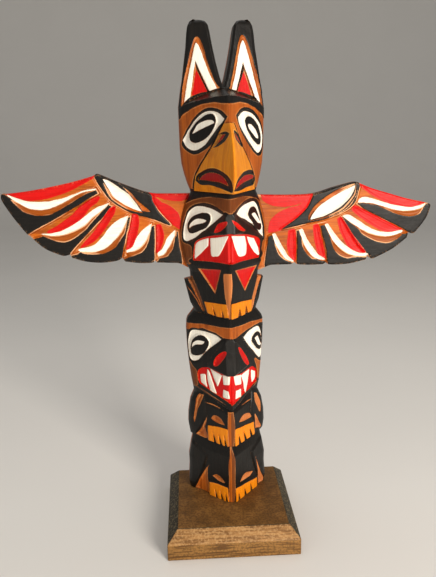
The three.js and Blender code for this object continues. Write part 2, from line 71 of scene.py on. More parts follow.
forward = Vector((
    math.sin(CAMERA_YAW) * math.cos(CAMERA_PITCH),
    math.cos(CAMERA_YAW) * math.cos(CAMERA_PITCH),
    -math.sin(CAMERA_PITCH),
))
level_right = Vector((math.cos(CAMERA_YAW), -math.sin(CAMERA_YAW), 0))
level_down = forward.cross(level_right)
right = math.cos(CAMERA_ROLL) * level_right + math.sin(CAMERA_ROLL) * level_down
down = math.cos(CAMERA_ROLL) * level_down - math.sin(CAMERA_ROLL) * level_right

bpy.ops.object.camera_add()
camera = bpy.context.object
camera.name = "camera"
camera.data.sensor_width = SENSOR_MM
camera.data.lens = FOCAL_PX / PICTURE_HIGH_PX * SENSOR_MM
camera.data.clip_start = 0.02
camera.data.clip_end = 20
turn = Matrix((right, -down, -forward)).transposed().to_4x4()
camera.matrix_world = Matrix.Translation(CAMERA_PLACE) @ turn
bpy.context.scene.camera = camera
print("lens", round(camera.data.lens, 2), "mm")

# %% [markdown]
# ## Floor and light
#
# A pale sweep of paper stands in for the room: a floor that bends up far behind the pole. The light is
# a soft lamp at the right, a larger and weaker one at the left, a weak one above and a pale sky.

# %% Picking what an operator works on


def deselect():
    """Takes everything out of the selection, because an operator acts on all that is selected."""
    if bpy.context.object and bpy.context.object.mode != "OBJECT":
        bpy.ops.object.mode_set(mode="OBJECT")
    bpy.ops.object.select_all(action="DESELECT")


def pick(piece):
    """Selects one object alone and makes it active."""
    deselect()
    piece.select_set(True)
    bpy.context.view_layer.objects.active = piece


def pick_edges(piece, wanted):
    """Enters edit mode with just those edges selected whose two ends both pass a test of place."""
    mesh = piece.data
    for group in (mesh.vertices, mesh.edges, mesh.polygons):
        group.foreach_set("select", [False] * len(group))
    for edge in mesh.edges:
        ends = [mesh.vertices[index] for index in edge.vertices]
        if all(wanted(end.co) for end in ends):
            edge.select = True
            for end in ends:
                end.select = True
    bpy.ops.object.mode_set(mode="EDIT")
    bpy.ops.mesh.select_mode(type="EDGE")

# %% Floor
FLOOR_HALF = 3.0
SWEEP_ROUND = 1.2
SWEEP_STEPS = 16

deselect()
bpy.ops.mesh.primitive_plane_add(size=2 * FLOOR_HALF)
floor = bpy.context.object
floor.name = "floor"
pick_edges(floor, lambda place: place.y > 0)
bpy.ops.mesh.extrude_region_move(TRANSFORM_OT_translate={"value": (0, 0, 2 * FLOOR_HALF)})
bpy.ops.object.mode_set(mode="OBJECT")
sweep = floor.modifiers.new("sweep", "BEVEL")
sweep.width = SWEEP_ROUND
sweep.segments = SWEEP_STEPS
bpy.ops.object.modifier_apply(modifier=sweep.name)
bpy.ops.object.shade_smooth()
print("floor faces:", len(floor.data.polygons))

# %% Lamps and sky
BREAST = (0, 0, 0.2)
SKY_STRENGTH = 0.3


def lamp(name, place, size, power, colour):
    """A square soft lamp that looks from its place to the pole's breast."""
    bpy.ops.object.light_add(type="AREA", location=place)
    made = bpy.context.object
    made.name = name
    made.data.size = size
    made.data.energy = power
    made.data.color = colour
    made.rotation_euler = (Vector(BREAST) - Vector(place)).to_track_quat("-Z", "Y").to_euler()


lamp("key_lamp", (0.52, -0.92, 0.42), 0.4, 14, (1.0, 0.93, 0.84))
lamp("fill_lamp", (-0.9, -0.75, 0.45), 1.0, 2.0, (1.0, 0.94, 0.86))
lamp("top_lamp", (-0.1, 0.25, 1.0), 0.8, 2.2, (1.0, 0.98, 0.95))
world = bpy.data.worlds.new("studio")
world.use_nodes = True
sky = world.node_tree.nodes["Background"]
sky.inputs["Color"].default_value = (1.0, 0.97, 0.93, 1)
sky.inputs["Strength"].default_value = SKY_STRENGTH
bpy.context.scene.world = world
bpy.context.scene.view_settings.view_transform = "Standard"

# %% [markdown]
# ## The pole's own frame
#
# The carver marks everything from the sharp ridge that runs up the front of the wedge. So each carved
# or painted shape is an outline of (distance from the ridge, height) in millimetres, once for each
# side. The whole figure is then turned four degrees on its base, as the real one is.

# %% From the pole's frame to the model's frame
POLE_TURN = math.radians(4)
POLE_SHIFT = 0.7


def to_model(points):
    """Turns an array of pole-frame points in millimetres into model-frame points in metres."""
    x, y, z = points[:, 0], points[:, 1], points[:, 2]
    turned = np.stack([
        math.cos(POLE_TURN) * x - math.sin(POLE_TURN) * y + POLE_SHIFT,
        math.sin(POLE_TURN) * x + math.cos(POLE_TURN) * y,
        z,
    ], axis=1)
    return turned * MM


print("the pole's middle at its foot:", to_model(np.zeros((1, 3))).round(4))

# %% [markdown]
# ## Outlines
#
# An outline is written with as few points as its shape needs. It is a list of arcs: each arc starts at
# a sharp corner and runs as a smooth curve through its points to the start of the next arc. A rounded
# shape with no corner is an oval, and a faceted one is a polygon.

# %% Smooth outlines
CURVE_STEPS = 5
STROKE_END = 0.15


def curve(points):
    """Points of a smooth curve through the given ones, without the last."""
    path = np.array(points, float)
    ends = np.vstack([2 * path[0] - path[1], path, 2 * path[-1] - path[-2]])
    share = np.linspace(0, 1, CURVE_STEPS, endpoint=False)[:, None]
    pieces = []
    for a, b, c, d in zip(ends, ends[1:], ends[2:], ends[3:]):
        pieces.append(0.5 * (2 * b + (c - a) * share + (2 * a - 5 * b + 4 * c - d) * share ** 2
                             + (3 * b - a - 3 * c + d) * share ** 3))
    return np.vstack(pieces)


def outline(*arcs):
    """A closed outline of arcs with a corner at the start of each."""
    loops = []
    for arc, following in zip(arcs, arcs[1:] + arcs[:1]):
        loops.append(curve(list(arc) + [following[0]]))
    return np.vstack(loops)


def oval(*points):
    """A closed smooth outline with no corner."""
    ring = [points[-1], *points, points[0], points[1]]
    return curve(ring)[CURVE_STEPS:-CURVE_STEPS]


def polygon(*points):
    """A closed outline of straight edges."""
    return np.array(points, float)


def ribbon(points, width):
    """A narrow loop round a smooth line, tapering to both ends: a single long brush or knife stroke."""
    path = np.vstack([curve(points), [points[-1]]])
    heading = np.gradient(path, axis=0)
    heading /= np.maximum(np.linalg.norm(heading, axis=1, keepdims=True), 1e-9)
    across = np.stack([-heading[:, 1], heading[:, 0]], axis=1)
    taper = np.sin(np.linspace(STROKE_END, math.pi - STROKE_END, len(path)))
    half = 0.5 * width * taper[:, None]
    return np.vstack([path + across * half, (path - across * half)[::-1]])


print("points in a ring drawn with 4:", len(oval((0, 0), (1, 0), (1, 1), (0, 1))))

# %% [markdown]
# ## Distances
#
# To carve or paint a shape on a dense mesh, every point needs to know how far inside the outline it
# lies. That signed distance gives a slope for a knife cut, and a crisp edge for a coat of paint that
# doesn't depend on where the mesh's faces happen to run.

# %% Signed distance and soft steps
FAR = 3.0


def inside(u, z, loop):
    """Distance in millimetres to a closed loop: positive inside, negative outside, at most FAR."""
    low = loop.min(axis=0) - FAR
    high = loop.max(axis=0) + FAR
    near = (u > low[0]) & (u < high[0]) & (z > low[1]) & (z < high[1])
    pu, pz = u[near], z[near]
    best = np.full(pu.shape, FAR ** 2)
    odd = np.zeros(pu.shape, bool)
    for (au, az), (bu, bz) in zip(loop, np.roll(loop, -1, axis=0)):
        du, dz = bu - au, bz - az
        along = np.clip(((pu - au) * du + (pz - az) * dz) / max(du * du + dz * dz, 1e-9), 0, 1)
        best = np.minimum(best, (au + along * du - pu) ** 2 + (az + along * dz - pz) ** 2)
        if az != bz:
            odd ^= ((az > pz) != (bz > pz)) & (pu < au + (pz - az) / dz * du)
    result = np.full(u.shape, -FAR)
    result[near] = np.where(odd, 1, -1) * np.sqrt(best)
    return result


def ease(value, low, high):
    """A smooth step from 0 to 1 between two values."""
    share = np.clip((value - low) / (high - low), 0, 1)
    return share * share * (3 - 2 * share)


def carve(u, z, loop, depth, start, full):
    """A cut or a rise in mm that starts near an outline's edge and is at its full depth further in."""
    return depth * ease(inside(u, z, loop), start, full)


def wander(x, z, size, seed):
    """Smooth noise between -1 and 1 over a surface, with features about the given size in mm."""
    scale = 1 / size
    return np.array([noise.noise((a * scale, seed, b * scale)) for a, b in zip(x, z)])


print("half of a 10 mm square:", inside(np.array([5.0]), np.array([5.0]),
                                         polygon((0, 0), (10, 0), (10, 10), (0, 10)))[0])

# %% [markdown]
# ## Paint
#
# Black, white, red and a yellow stain lie on the wood. Two more tones are kept the same way: pale tan where
# the knife went last, and brown. The brown is mostly painted shade: on the bevels of the feathers, in the
# notches between the breast's claws, under the chin and on the left cheeks, which turn away from the lamp.
# A coat is one number per paint at every point, in millimetres, positive where that paint shows. Painting a
# shape raises its own paint there and lowers all others, in the order in which the painter laid them on.
# "bare" takes paint away, which is how the knife's bevels show as plain wood between the colours.

# %% Coats of paint
PAINTS = ("black", "white", "red", "yellow", "tan", "brown")


def new_coat(count):
    """A coat with no paint anywhere."""
    return {paint: np.full(count, -FAR) for paint in PAINTS}


def brush(coat, paint, distance):
    """Lays one paint on where the distance is positive."""
    for other in PAINTS:
        if other != paint:
            coat[other] = np.minimum(coat[other], -distance)
    if paint != "bare":
        coat[paint] = np.maximum(coat[paint], distance)


def paint_all(coat, u, z, strokes):
    """Lays a list of (paint, loop) or (paint, loop, growth) strokes on in order."""
    for paint, loop, *growth in strokes:
        brush(coat, paint, inside(u, z, loop) + (growth[0] if growth else 0))


print("paints:", PAINTS)

# %% [markdown]
# ## The eyes
#
# All three faces have eyes of one kind: a black rim, a white with a pointed inner corner, a black iris
# and a pale slot in it. The white is hollowed round the iris, which stays as a low dome. The left and
# right eyes were cut by hand and differ a little, so each has its own outlines.

# %% Eye outlines
EYES = {
    "head": {
        -1: {
            "rim": outline([(0.9, 284), (4.5, 288), (9.6, 289.9), (14.5, 288.8), (19.3, 284.4), (24.3, 276.4),
                            (26.8, 269.8), (25.4, 265.4), (19.5, 261.8), (12.1, 265.6), (7.4, 272.2)]),
            "white": outline([(2.6, 282.8), (5.5, 286.5), (9.6, 287.9), (14.5, 286.7), (19.3, 282),
                              (23.2, 275.7)], [(26.2, 270.9), (23.5, 266.4), (19.4, 264.2), (13.5, 267.5),
                             (9.6, 272.8), (6, 278)]),
            "iris": oval((8.4, 286), (7.1, 281.8), (8.9, 276.4), (12.6, 271.6), (18, 268.9), (21.9, 270.8),
                         (21.9, 275.4), (18.6, 281), (13.2, 285.4)),
            "slot": outline([(20.4, 274.6), (17.5, 279.8), (13.7, 282.2), (9.2, 282.3)],
                            [(8, 280.6), (14.7, 277.6)]),
        },
        1: {
            "rim": outline([(4.9, 285), (8.4, 288.7), (13.5, 290.1), (18.8, 288.8), (23.9, 283.9),
                            (27.2, 276.5), (27.6, 268), (26.2, 261.4), (22.4, 260.3), (17.4, 264.4),
                            (11.8, 271), (7.4, 278)]),
            "white": outline([(6.6, 283.8), (9.4, 286.8), (13.5, 287.8), (18.8, 286.2), (24.3, 280.7),
                              (26.6, 274), (26.4, 267), (24.8, 262.8), (22.3, 262.4), (17.6, 266.8),
                              (11.6, 274.1), (7.6, 279.6)]),
            "iris": oval((12.2, 283), (14.7, 284.8), (18.8, 283.7), (23.1, 279.3), (25.2, 273.6),
                         (25.2, 268.7), (23.3, 267.1), (20, 268.9), (15.3, 274.1), (12.5, 279.5)),
            "slot": outline([(14.3, 280.2), (17.4, 279.6), (21, 276.6), (23.1, 271.6)],
                            [(21.2, 271.8), (15.5, 277.2)]),
        },
    },
    "upper mask": {
        -1: {
            "rim": outline([(2.2, 225), (8.5, 229.8), (15.7, 231), (23, 227.5), (26.8, 219.3), (28.7, 210.4),
                            (28.3, 204.4), (24.8, 203.3), (19.8, 206.2), (13.6, 211.8), (7, 218)]),
            "white": outline([(4, 224.5), (10.7, 228), (18, 228.6), (22.7, 225.6), (25.7, 219.8),
                              (27.5, 210.5), (27.3, 206), (25, 205.1), (20.8, 207.8), (14.6, 213.6),
                              (8.4, 219.6)]),
            "iris": oval((11.7, 224.3), (11.1, 220.4), (13.4, 215.8), (18.4, 212.4), (22.8, 210.5),
                         (24.9, 212.6), (24.4, 217.6), (21.2, 222), (15.9, 224.6)),
            "slot": outline([(24.1, 213.1), (22.9, 217), (19.7, 220.1), (15.9, 220.8)],
                            [(13.2, 219.8), (15.4, 218.3), (21.3, 216)]),
        },
        1: {
            "rim": outline([(2.4, 225.2), (6.4, 229), (12, 232.2), (17.5, 233.1), (22.3, 231.4), (25, 226),
                            (27.6, 215), (28.3, 206), (26.8, 203.2), (22.6, 206.8), (17, 212.8),
                            (9.6, 218.6)]),
            "white": outline([(4.9, 224.6), (8.8, 228.2), (14.8, 230.1), (20.2, 230.2), (23.6, 224.6),
                              (26.2, 214)], [(26.9, 205.9), (24.6, 208.2), (19.5, 214.4), (14, 218.8),
                             (8.7, 221.8)]),
            "iris": oval((14, 223.6), (16.5, 226.9), (20.1, 226.9), (23, 222), (25.3, 213.5),
                         (23.7, 211), (19.7, 213.9), (17.1, 218.4), (14.9, 220.9)),
            "slot": outline([(17, 222.8), (20.1, 223), (23.3, 218.4), (24.7, 215.4)],
                            [(22.4, 216.2), (19.8, 219.2)]),
        },
    },
    "lower mask": {
        -1: {
            "rim": outline([(3.6, 140.4), (9.4, 143.2), (17.4, 144.2), (25, 142.9), (27.6, 134.6),
                            (27.7, 126.5), (26.6, 119.6), (23.6, 117), (18.4, 119.8), (14.6, 126.4),
                            (8.2, 134.6)]),
            "white": outline([(5.4, 139.7), (9.4, 141.8), (17.4, 142.5), (23.9, 141.3), (26.2, 134.6),
                              (26.3, 127), (25.5, 121), (23.5, 118.8), (19.7, 121), (16.1, 127.1),
                              (9.8, 134.7)]),
            "iris": oval((19.9, 138.9), (15.9, 139.2), (13.2, 136), (14.3, 131), (17.9, 125.4),
                         (23.3, 123.2), (25.1, 126.4), (24.1, 133.9)),
            "slot": outline([(24.3, 128.4), (23.3, 132.4), (20.2, 135.2)],
                            [(15.7, 135.4), (17.3, 133.2), (21.9, 131.6)]),
        },
        1: {
            "rim": outline([(8.6, 138.6), (14.9, 142.8), (23.5, 144.2), (26, 140), (28, 128.6),
                            (27.8, 116.8), (23.9, 116.2), (17.3, 124.8), (12.5, 131.9)]),
            "white": outline([(10.5, 138.4), (15.3, 141.4), (22.9, 142.2), (25, 138.2), (26.5, 128.6),
                              (26.4, 119.6)], [(25.9, 117.8), (23.6, 118.6), (18.7, 125.8), (14.1, 132.3)]),
            "iris": oval((17.3, 134.9), (19.6, 138), (22.6, 138.6), (25.2, 135.4), (26.2, 128.7),
                         (25.1, 124.3), (21.9, 126.3), (18.9, 130.5)),
            "slot": polygon((20.1, 134.6), (22.6, 135.6), (25.8, 128), (24.6, 127.2), (22.6, 129.4)),
        },
    },
}
print("eyes:", [(face, len(EYES[face][-1]["rim"])) for face in EYES])

# %% Paint and carving of an eye
EYE_DEPTH = 1.7
DOME_DROP = 0.55
SLOT_DEPTH = 0.5
DOME_START = -0.9
DOME_FULL = 0.1


def eye_strokes(eye):
    """The paint of one eye, from the rim inwards."""
    layers = (("black", "rim"), ("white", "white"), ("black", "iris"), ("white", "slot"))
    return [(paint, eye[part]) for paint, part in layers]


def eye_depth(u, z, eye):
    """The carving of one eye: a hollow ring in the white round a low dome, with a slot cut in it."""
    dome = inside(u, z, eye["iris"])
    hollow = carve(u, z, eye["rim"], EYE_DEPTH, 0.2, 2.4) * (1 - ease(dome, DOME_START, DOME_FULL))
    crown = DOME_DROP * (1 - ease(dome, 0, 4))
    slot = carve(u, z, eye["slot"], SLOT_DEPTH, -0.1, 0.5)
    return hollow + np.where(dome > DOME_FULL, crown, 0) + slot


print("strokes on an eye:", len(eye_strokes(EYES["head"][1])))

# %% [markdown]
# ## Paint and carving of the pole
#
# The painter first blacked large areas and left the orange stain bare elsewhere. Then came the eyes,
# the mouths and the teeth, the red triangles and the yellow claws. The lists below follow that order
# from the ears down. A shape that is alike on both sides is written once.

# %% Head and ears
BEYOND = 60
EDGE = -3
ABOVE = 400
BROW_EDGE = [(EDGE, 291.4), (3, 291.7), (8.2, 292.9), (14, 292.4), (20, 290.4), (25.8, 286.8), (29, 283.4)]
CROWN = polygon(*BROW_EDGE, (BEYOND, 280), (BEYOND, ABOVE), (EDGE, ABOVE))
BROW_BAND = outline(BROW_EDGE, [(40, 280)], [(40, 290), (28, 291.2), (24.8, 294), (20.5, 297.8),
                    (14, 300.1), (8, 301.1), (3.6, 302.4)], [(EDGE, 304)])
# On each ear a black strip along the inner side of the red paints the shadow of the groove wall.
EARS = {
    -1: {
        "groove": outline([(27, 288), (25.4, 303), (21.6, 318), (18.2, 330), (15.7, 334), (12.6, 330.6),
                           (8.6, 316), (4.6, 305.4), (1.6, 299)]),
        "white": outline([(25.2, 291), (22, 308), (18.8, 321), (16.6, 329.4), (15.2, 330), (13.2, 325.6),
                          (9, 313), (3.4, 300)], [(8, 299)], [(16.8, 319.4)], [(20.9, 296)]),
        "heart": polygon((16.8, 319.4), (20.9, 296), (8, 298)),
        "red": polygon((16.3, 314.4), (19.7, 299), (18.6, 296), (8.8, 298), (9.2, 300)),
        "line": polygon((17, 320.6), (16.4, 315.4), (8.6, 298), (7.4, 298), (13.4, 310.6)),
    },
    1: {
        "groove": outline([(27.2, 289), (24.6, 306), (20.6, 320), (17, 331), (14, 335), (11.4, 332),
                           (8, 318), (4.6, 304), (4, 300)]),
        "white": outline([(25.4, 292.6), (21, 309), (17.4, 323), (14.6, 331), (13, 331), (11.2, 325),
                          (8.6, 313), (5.4, 300)], [(8.4, 300)], [(13.7, 317.9)], [(21.9, 295.6)]),
        "heart": polygon((13.7, 317.9), (21.9, 295.6), (8.2, 300)),
        "red": polygon((13.8, 314), (16.8, 306), (19.6, 296.6), (8.6, 299.8)),
        "line": polygon((13.6, 319), (14.4, 313.6), (9, 299), (8.2, 299)),
    },
}


def ear_strokes(side):
    """The paint of one ear, with a black painted shadow beside its red, and of the black brow below it."""
    ear = EARS[side]
    return [("black", CROWN), ("bare", ear["groove"]), ("white", ear["white"]), ("bare", ear["heart"]),
            ("red", ear["red"]), ("black", ear["line"]), ("black", BROW_BAND)]


print("strokes on an ear:", len(ear_strokes(1)))

# %% Upper mask, breast and tail
UPPER_HAT = polygon((EDGE, 234.6), (5, 234.8), (10.6, 235.2), (16, 234.3), (21, 232.7), (24.6, 230.4),
                    (32, 226), (40, 226), (40, 239.8), (EDGE, 239.8))
UPPER_NOSE = {
    -1: outline([(EDGE, 225.6), (0.6, 225.4), (3.6, 226), (8, 219), (16, 211.4), (24, 205.4)],
                [(27.5, 206.9), (25.8, 203.9), (23.5, 202.3)], [(22.7, 201.2), (22.4, 194.7), (23.2, 189.8)],
                [(EDGE, 189.8)]),
    1: outline([(EDGE, 225.6), (1.4, 225.2), (3, 226), (8.6, 220.8), (16, 214.6), (24, 208)],
               [(26.6, 203.4), (25.6, 198), (24.8, 191)], [(EDGE, 191)]),
}
# Brown over the left cheek of the upper mask: painted shade, as that flank turns from the lamp, over a stain
# a little darker there. On the right the brown lies round the eye, under the hat.
UPPER_DARK = {
    -1: polygon((EDGE, 224), (14, 205), (24, 188.4), (BEYOND, 188.4), (BEYOND, 240), (EDGE, 240)),
    1: polygon((EDGE, 224), (14, 205), (23.4, 205), (24.4, 230), (24, 240), (EDGE, 240)),
}
UPPER_NOSTRIL = {
    -1: oval((9.6, 213.3), (7.3, 218), (4.4, 220.2), (2.2, 220.5), (2.7, 218), (5.2, 215.2), (8, 213.4)),
    1: oval((1, 221.4), (4.6, 219.6), (8.7, 216), (11.3, 213.5), (8.6, 213.7), (4.5, 216.2)),
}
UPPER_MOUTH = {
    -1: outline([(EDGE, 213), (1, 212.8), (12.5, 209.9), (19.6, 206), (21.2, 201)],
                [(22, 192), (7.7, 193.7), (EDGE, 195.2)]),
    1: outline([(EDGE, 213), (-1, 213), (13.8, 210), (23, 205.8), (24.2, 200)],
               [(23.6, 191.8), (8.3, 193.5), (EDGE, 195.6)]),
}
UPPER_TEETH = {
    -1: [
        outline([(20.6, 200.4), (20, 203.6), (17.6, 206.2)], [(12.3, 208.9)], [(12.8, 203.4), (16.4, 198.6)],
                [(21, 192.9)]),
        outline([(11.5, 208.7)], [(1, 211.6)], [(3.6, 205), (6.4, 198.4), (8.6, 197.2), (11.2, 197.8)]),
    ],
    1: [
        outline([(0.4, 211.7)], [(11.3, 209.4)], [(12.6, 203.4), (12, 197.4), (8.6, 196.6), (5, 199)]),
        outline([(12.8, 208.8)], [(18.8, 206.4)], [(22.8, 199.4), (23.4, 193.6)], [(19.3, 196.6),
                (15, 203.4)]),
    ],
}
BODY_BLACK = {
    -1: polygon((EDGE, 193.4), (22.4, 193.4), (23.2, 189.8), (24.5, 188.6), (BEYOND, 188.6), (BEYOND, 10),
                (EDGE, 10)),
    1: polygon((EDGE, 193.4), (24.6, 193.4), (26.5, 188), (BEYOND, 186), (BEYOND, 10), (EDGE, 10)),
}
BREAST_TRIANGLE = {
    -1: (polygon((19.1, 187), (5.7, 188.6), (9, 171.6)),
         polygon((16.9, 186.5), (6.3, 188.4), (9.1, 174.2))),
    1: (polygon((3.1, 188.6), (22.1, 186.9), (11.6, 171.7)),
        polygon((4.8, 187.9), (20.2, 185.7), (11.4, 173.3))),
}
BREAST_STRIP = {
    -1: polygon((EDGE, 187.4), (4.2, 186.3), (4, 178.7), (3.4, 170.7), (1.8, 160.9), (1.5, 156.5),
                (EDGE, 156.4)),
    1: polygon((EDGE, 187.4), (0.7, 186.9), (1.1, 179.2), (0.5, 171.4), (-0.8, 165.8), (-1.4, 157.9),
               (EDGE, 156.4)),
}
# Brown on the left flap is painted shade, as it turns from the lamp; the broad tan on the right flap is
# partly a painted highlight.
TAIL_STRIPS = {
    -1: [
        ("brown", polygon((25.6, 178.7), (22.6, 180.7), (18.4, 169.7), (15.4, 158.4), (16.3, 156.8),
                          (21.4, 169.6))),
        ("tan", ribbon([(24.6, 179.4), (20.6, 169.8), (16, 157.4)], 0.8)),
        ("tan", ribbon([(27.3, 174.3), (21.4, 166.2), (16.3, 157.1)], 0.6)),
    ],
    1: [
        ("tan", polygon((23.7, 179.8), (26.8, 178.1), (23.1, 170.5), (18.7, 157.3), (16.5, 154.7),
                        (18.2, 164.9))),
    ],
}
print("upper teeth:", sum(len(teeth) for teeth in UPPER_TEETH.values()))

# %% Lower mask
LOWER_HAT_TOP = 155.8
LOWER_HAT_EDGE = ((EDGE, 149.4), (1.2, 149.3), (6, 148.6), (17.3, 148.2), (26.7, 146.5))
LOWER_HAT = polygon(*LOWER_HAT_EDGE, (33, 144), (40, 144), (40, LOWER_HAT_TOP), (EDGE, LOWER_HAT_TOP))
LOWER_BROW = {
    -1: polygon(*LOWER_HAT_EDGE, (33, 145), (33, 140), (26.8, 141.8), (17.3, 145), (9, 143.6), (4.3, 141),
                (EDGE, 141.6)),
    1: polygon((EDGE, 149.4), (1.2, 149.3), (8.7, 148), (17.3, 148), (25.9, 147), (33, 145), (33, 142),
               (24.4, 144.8), (14.6, 143.6), (8.3, 141.9), (5, 140.4), (EDGE, 141.6)),
}
LOWER_NOSTRIL = {
    -1: oval((10.8, 120.4), (10.3, 124.8), (6.8, 130.2), (3.1, 132.6), (3.4, 129.6), (6.1, 124.4),
             (8.5, 121)),
    1: oval((5.8, 133.2), (7.4, 133), (11.4, 126.6), (14.8, 119), (13.6, 117.9), (9.3, 124)),
}
LOWER_MOUTH = {
    -1: outline([(EDGE, 115.5), (4.6, 115.4), (9.5, 116.6), (13, 117.2), (17.2, 116), (20.4, 112.6),
                 (20.8, 107)], [(19.8, 103.2), (9.8, 99.3), (EDGE, 96)]),
    1: outline([(EDGE, 115.5), (3, 115), (9, 113.8), (14.5, 114.6), (18, 114.4), (21.4, 110.6),
                (22.4, 106)], [(21.4, 101), (10.8, 97.6), (EDGE, 95.4)]),
}
LOWER_TEETH = {
    -1: [
        polygon((4.9, 114.2), (0.5, 114.9), (1.2, 108.8), (4.5, 107.8)),
        polygon((4.6, 103.8), (1.9, 103.7), (1.2, 98.6), (4.9, 98)),
        outline([(12.4, 116.2)], [(5.8, 113.9)], [(8.4, 105.2)]),
        outline([(14.4, 115.2), (13.1, 112.8)], [(9.2, 99.6)], [(12.8, 100.8), (14.2, 108)]),
        polygon((18.8, 109.8), (16, 111), (15, 102), (18.3, 104)),
    ],
    1: [
        polygon((2.1, 114.2), (8, 112.4), (8, 105.7), (3.6, 107.4)),
        polygon((3.8, 102.8), (7.8, 102.1), (7.9, 96.9), (3.5, 97.1)),
        outline([(8.7, 111.8)], [(15.2, 113)], [(13.8, 104.5), (11.8, 98)], [(10.4, 105)]),
        outline([(17.2, 111.4)], [(20.4, 108.6), (20.2, 104)], [(18, 102)], [(17.2, 107)]),
    ],
}
# The lower mask's cheek beside the mouth: brown painted shade on the left, plain stain on the right.
LOWER_CHEEK = {
    -1: outline([(25.6, 118.6), (27.8, 114), (27.8, 106), (24.8, 99.4)], [(22.3, 100.3)],
                [(20.8, 101.8), (21, 107.2), (21.6, 112.6), (24.1, 115.4)]),
    1: outline([(19.6, 119.6), (23.6, 118.9), (28, 117.6)], [(28, 108), (25, 103.6), (23, 102.5)],
               [(22.6, 107.5), (21.5, 112.9)]),
}
# A brown line of painted shade along the crease under the chin's step.
CHIN_LINE = {
    -1: ribbon([(22.6, 100.8), (14, 97.4), (3.6, 93.8)], 0.8),
    1: ribbon([(23, 102), (15, 96), (4.6, 92.8)], 0.8),
}
print("lower teeth:", sum(len(teeth) for teeth in LOWER_TEETH.values()))

# %% Arms, hands, legs and feet
LIMB_BARE = {
    -1: [
        outline([(22.4, 90.2), (20, 94.6)], [(17, 94.6)], [(21.6, 84), (23.9, 73.1)], [(24.4, 76)]),
        outline([(15.2, 81)], [(17, 71.2), (15.8, 63)], [(23.2, 63)], [(19.4, 69)]),
        ribbon([(17, 90), (11, 89.6), (5.2, 88.2)], 0.7),
        outline([(14.8, 43), (16.2, 36), (15.8, 19)], [(24.6, 19), (21, 29.4)]),
    ],
    1: [
        outline([(19.4, 93.6)], [(21.8, 91.8), (24.5, 84.5), (24, 77.4)], [(19.8, 87.6)]),
        outline([(19.3, 79.4), (22, 73), (24.8, 65.4)], [(20.3, 65.4)]),
        ribbon([(18.4, 90), (14, 89.8), (8.4, 89)], 0.6),
        outline([(19.6, 45.6)], [(21.8, 37.5), (24.4, 29), (27, 22.4)], [(25.8, 19)], [(22.4, 19)],
                [(22, 32)]),
    ],
}
ALMONDS = {
    -1: [
        outline([(12.8, 79.6), (10.6, 82.4), (7.6, 82.2), (5.8, 80.2)], [(4.3, 77.6), (8.4, 77.5),
                (11.5, 78.5)]),
        outline([(12.8, 34.8), (9.6, 37), (6.8, 35.4), (5, 32.8)], [(9.2, 32.9)]),
    ],
    1: [
        outline([(6, 78), (8.4, 81), (11.4, 81.8), (15.2, 80)], [(16.6, 76.8), (10.9, 76.8)]),
        outline([(6.5, 31.8), (8.6, 34.8), (11.6, 35.6)], [(17.8, 32.9)], [(14.8, 30.9), (9.4, 31.4)]),
    ],
}
LIMB_STRIP = {
    -1: [
        polygon((EDGE, 88), (2.2, 87.8), (2.6, 75.9), (2.2, 61.4), (EDGE, 61.4)),
        polygon((EDGE, 61), (0.6, 61), (2.4, 48.4), (2.3, 27.4), (2.9, 18), (EDGE, 18)),
    ],
    1: [
        polygon((EDGE, 88), (1.8, 87.7), (2.8, 76.1), (1.7, 61.4), (EDGE, 61.4)),
        polygon((EDGE, 61), (0.4, 60), (2.6, 52), (2.3, 26.9), (1, 18), (EDGE, 18)),
    ],
}
CLAWS = {
    -1: [
        {"block": polygon((2.7, 165.9), (9, 165.1), (15.6, 164.3), (13.9, 157.1), (9.2, 156.3), (4.2, 156.8),
                          (1.5, 157.6)),
         "slits": ((5.7, 4.6, 0.7), (10.7, 9.2, 0.7)), "top": 162.8, "foot": 156},
        {"block": polygon((2.7, 75), (9, 74.6), (15.2, 73.4), (15.1, 61.6), (2.5, 61.6)),
         "slits": ((5.1, 3.6, 0.9), (8.6, 6.5, 0.9), (12.2, 10.3, 0.9)), "top": 70.2, "foot": 60.8},
        {"block": polygon((3, 29.8), (9, 29.8), (15, 29), (15.2, 17), (2.6, 17)),
         "slits": ((4.7, 3.8, 0.9), (8.1, 6.4, 0.9), (11.6, 10, 0.9)), "top": 25.8, "foot": 17.4},
    ],
    1: [
        {"block": polygon((0.2, 166.9), (8.3, 165.7), (17.7, 163.7), (17.6, 155.5), (8.2, 156.1),
                          (-0.2, 156.8)),
         "slits": ((6.8, 6.7, 1.5), (12.4, 12.6, 1.3)), "top": 162.4, "foot": 155.6},
        {"block": polygon((2.8, 74.6), (9, 73.6), (18.7, 71.8), (19.6, 61), (2.6, 61.4)),
         "slits": ((5.4, 6.8, 1.1), (9.6, 11.8, 1.1), (14.7, 16.9, 1.1)), "top": 70.4, "foot": 60.4},
        {"block": polygon((2.6, 29), (12, 27.6), (21.2, 25.6), (21.4, 16), (2.4, 16)),
         "slits": ((4.8, 5.5, 1), (9.9, 11, 1), (15.1, 16.4, 1)), "top": 26.2, "foot": 16.6},
    ],
}
print("rows of claws a side:", len(CLAWS[1]))

# %% The body's paint in order


def slits_of(row):
    """The narrow wedges between the claws of a row, each pointed at its top."""
    return [polygon((low - half, row["foot"]), (low + half, row["foot"]), (high, row["top"]))
            for high, low, half in row["slits"]]


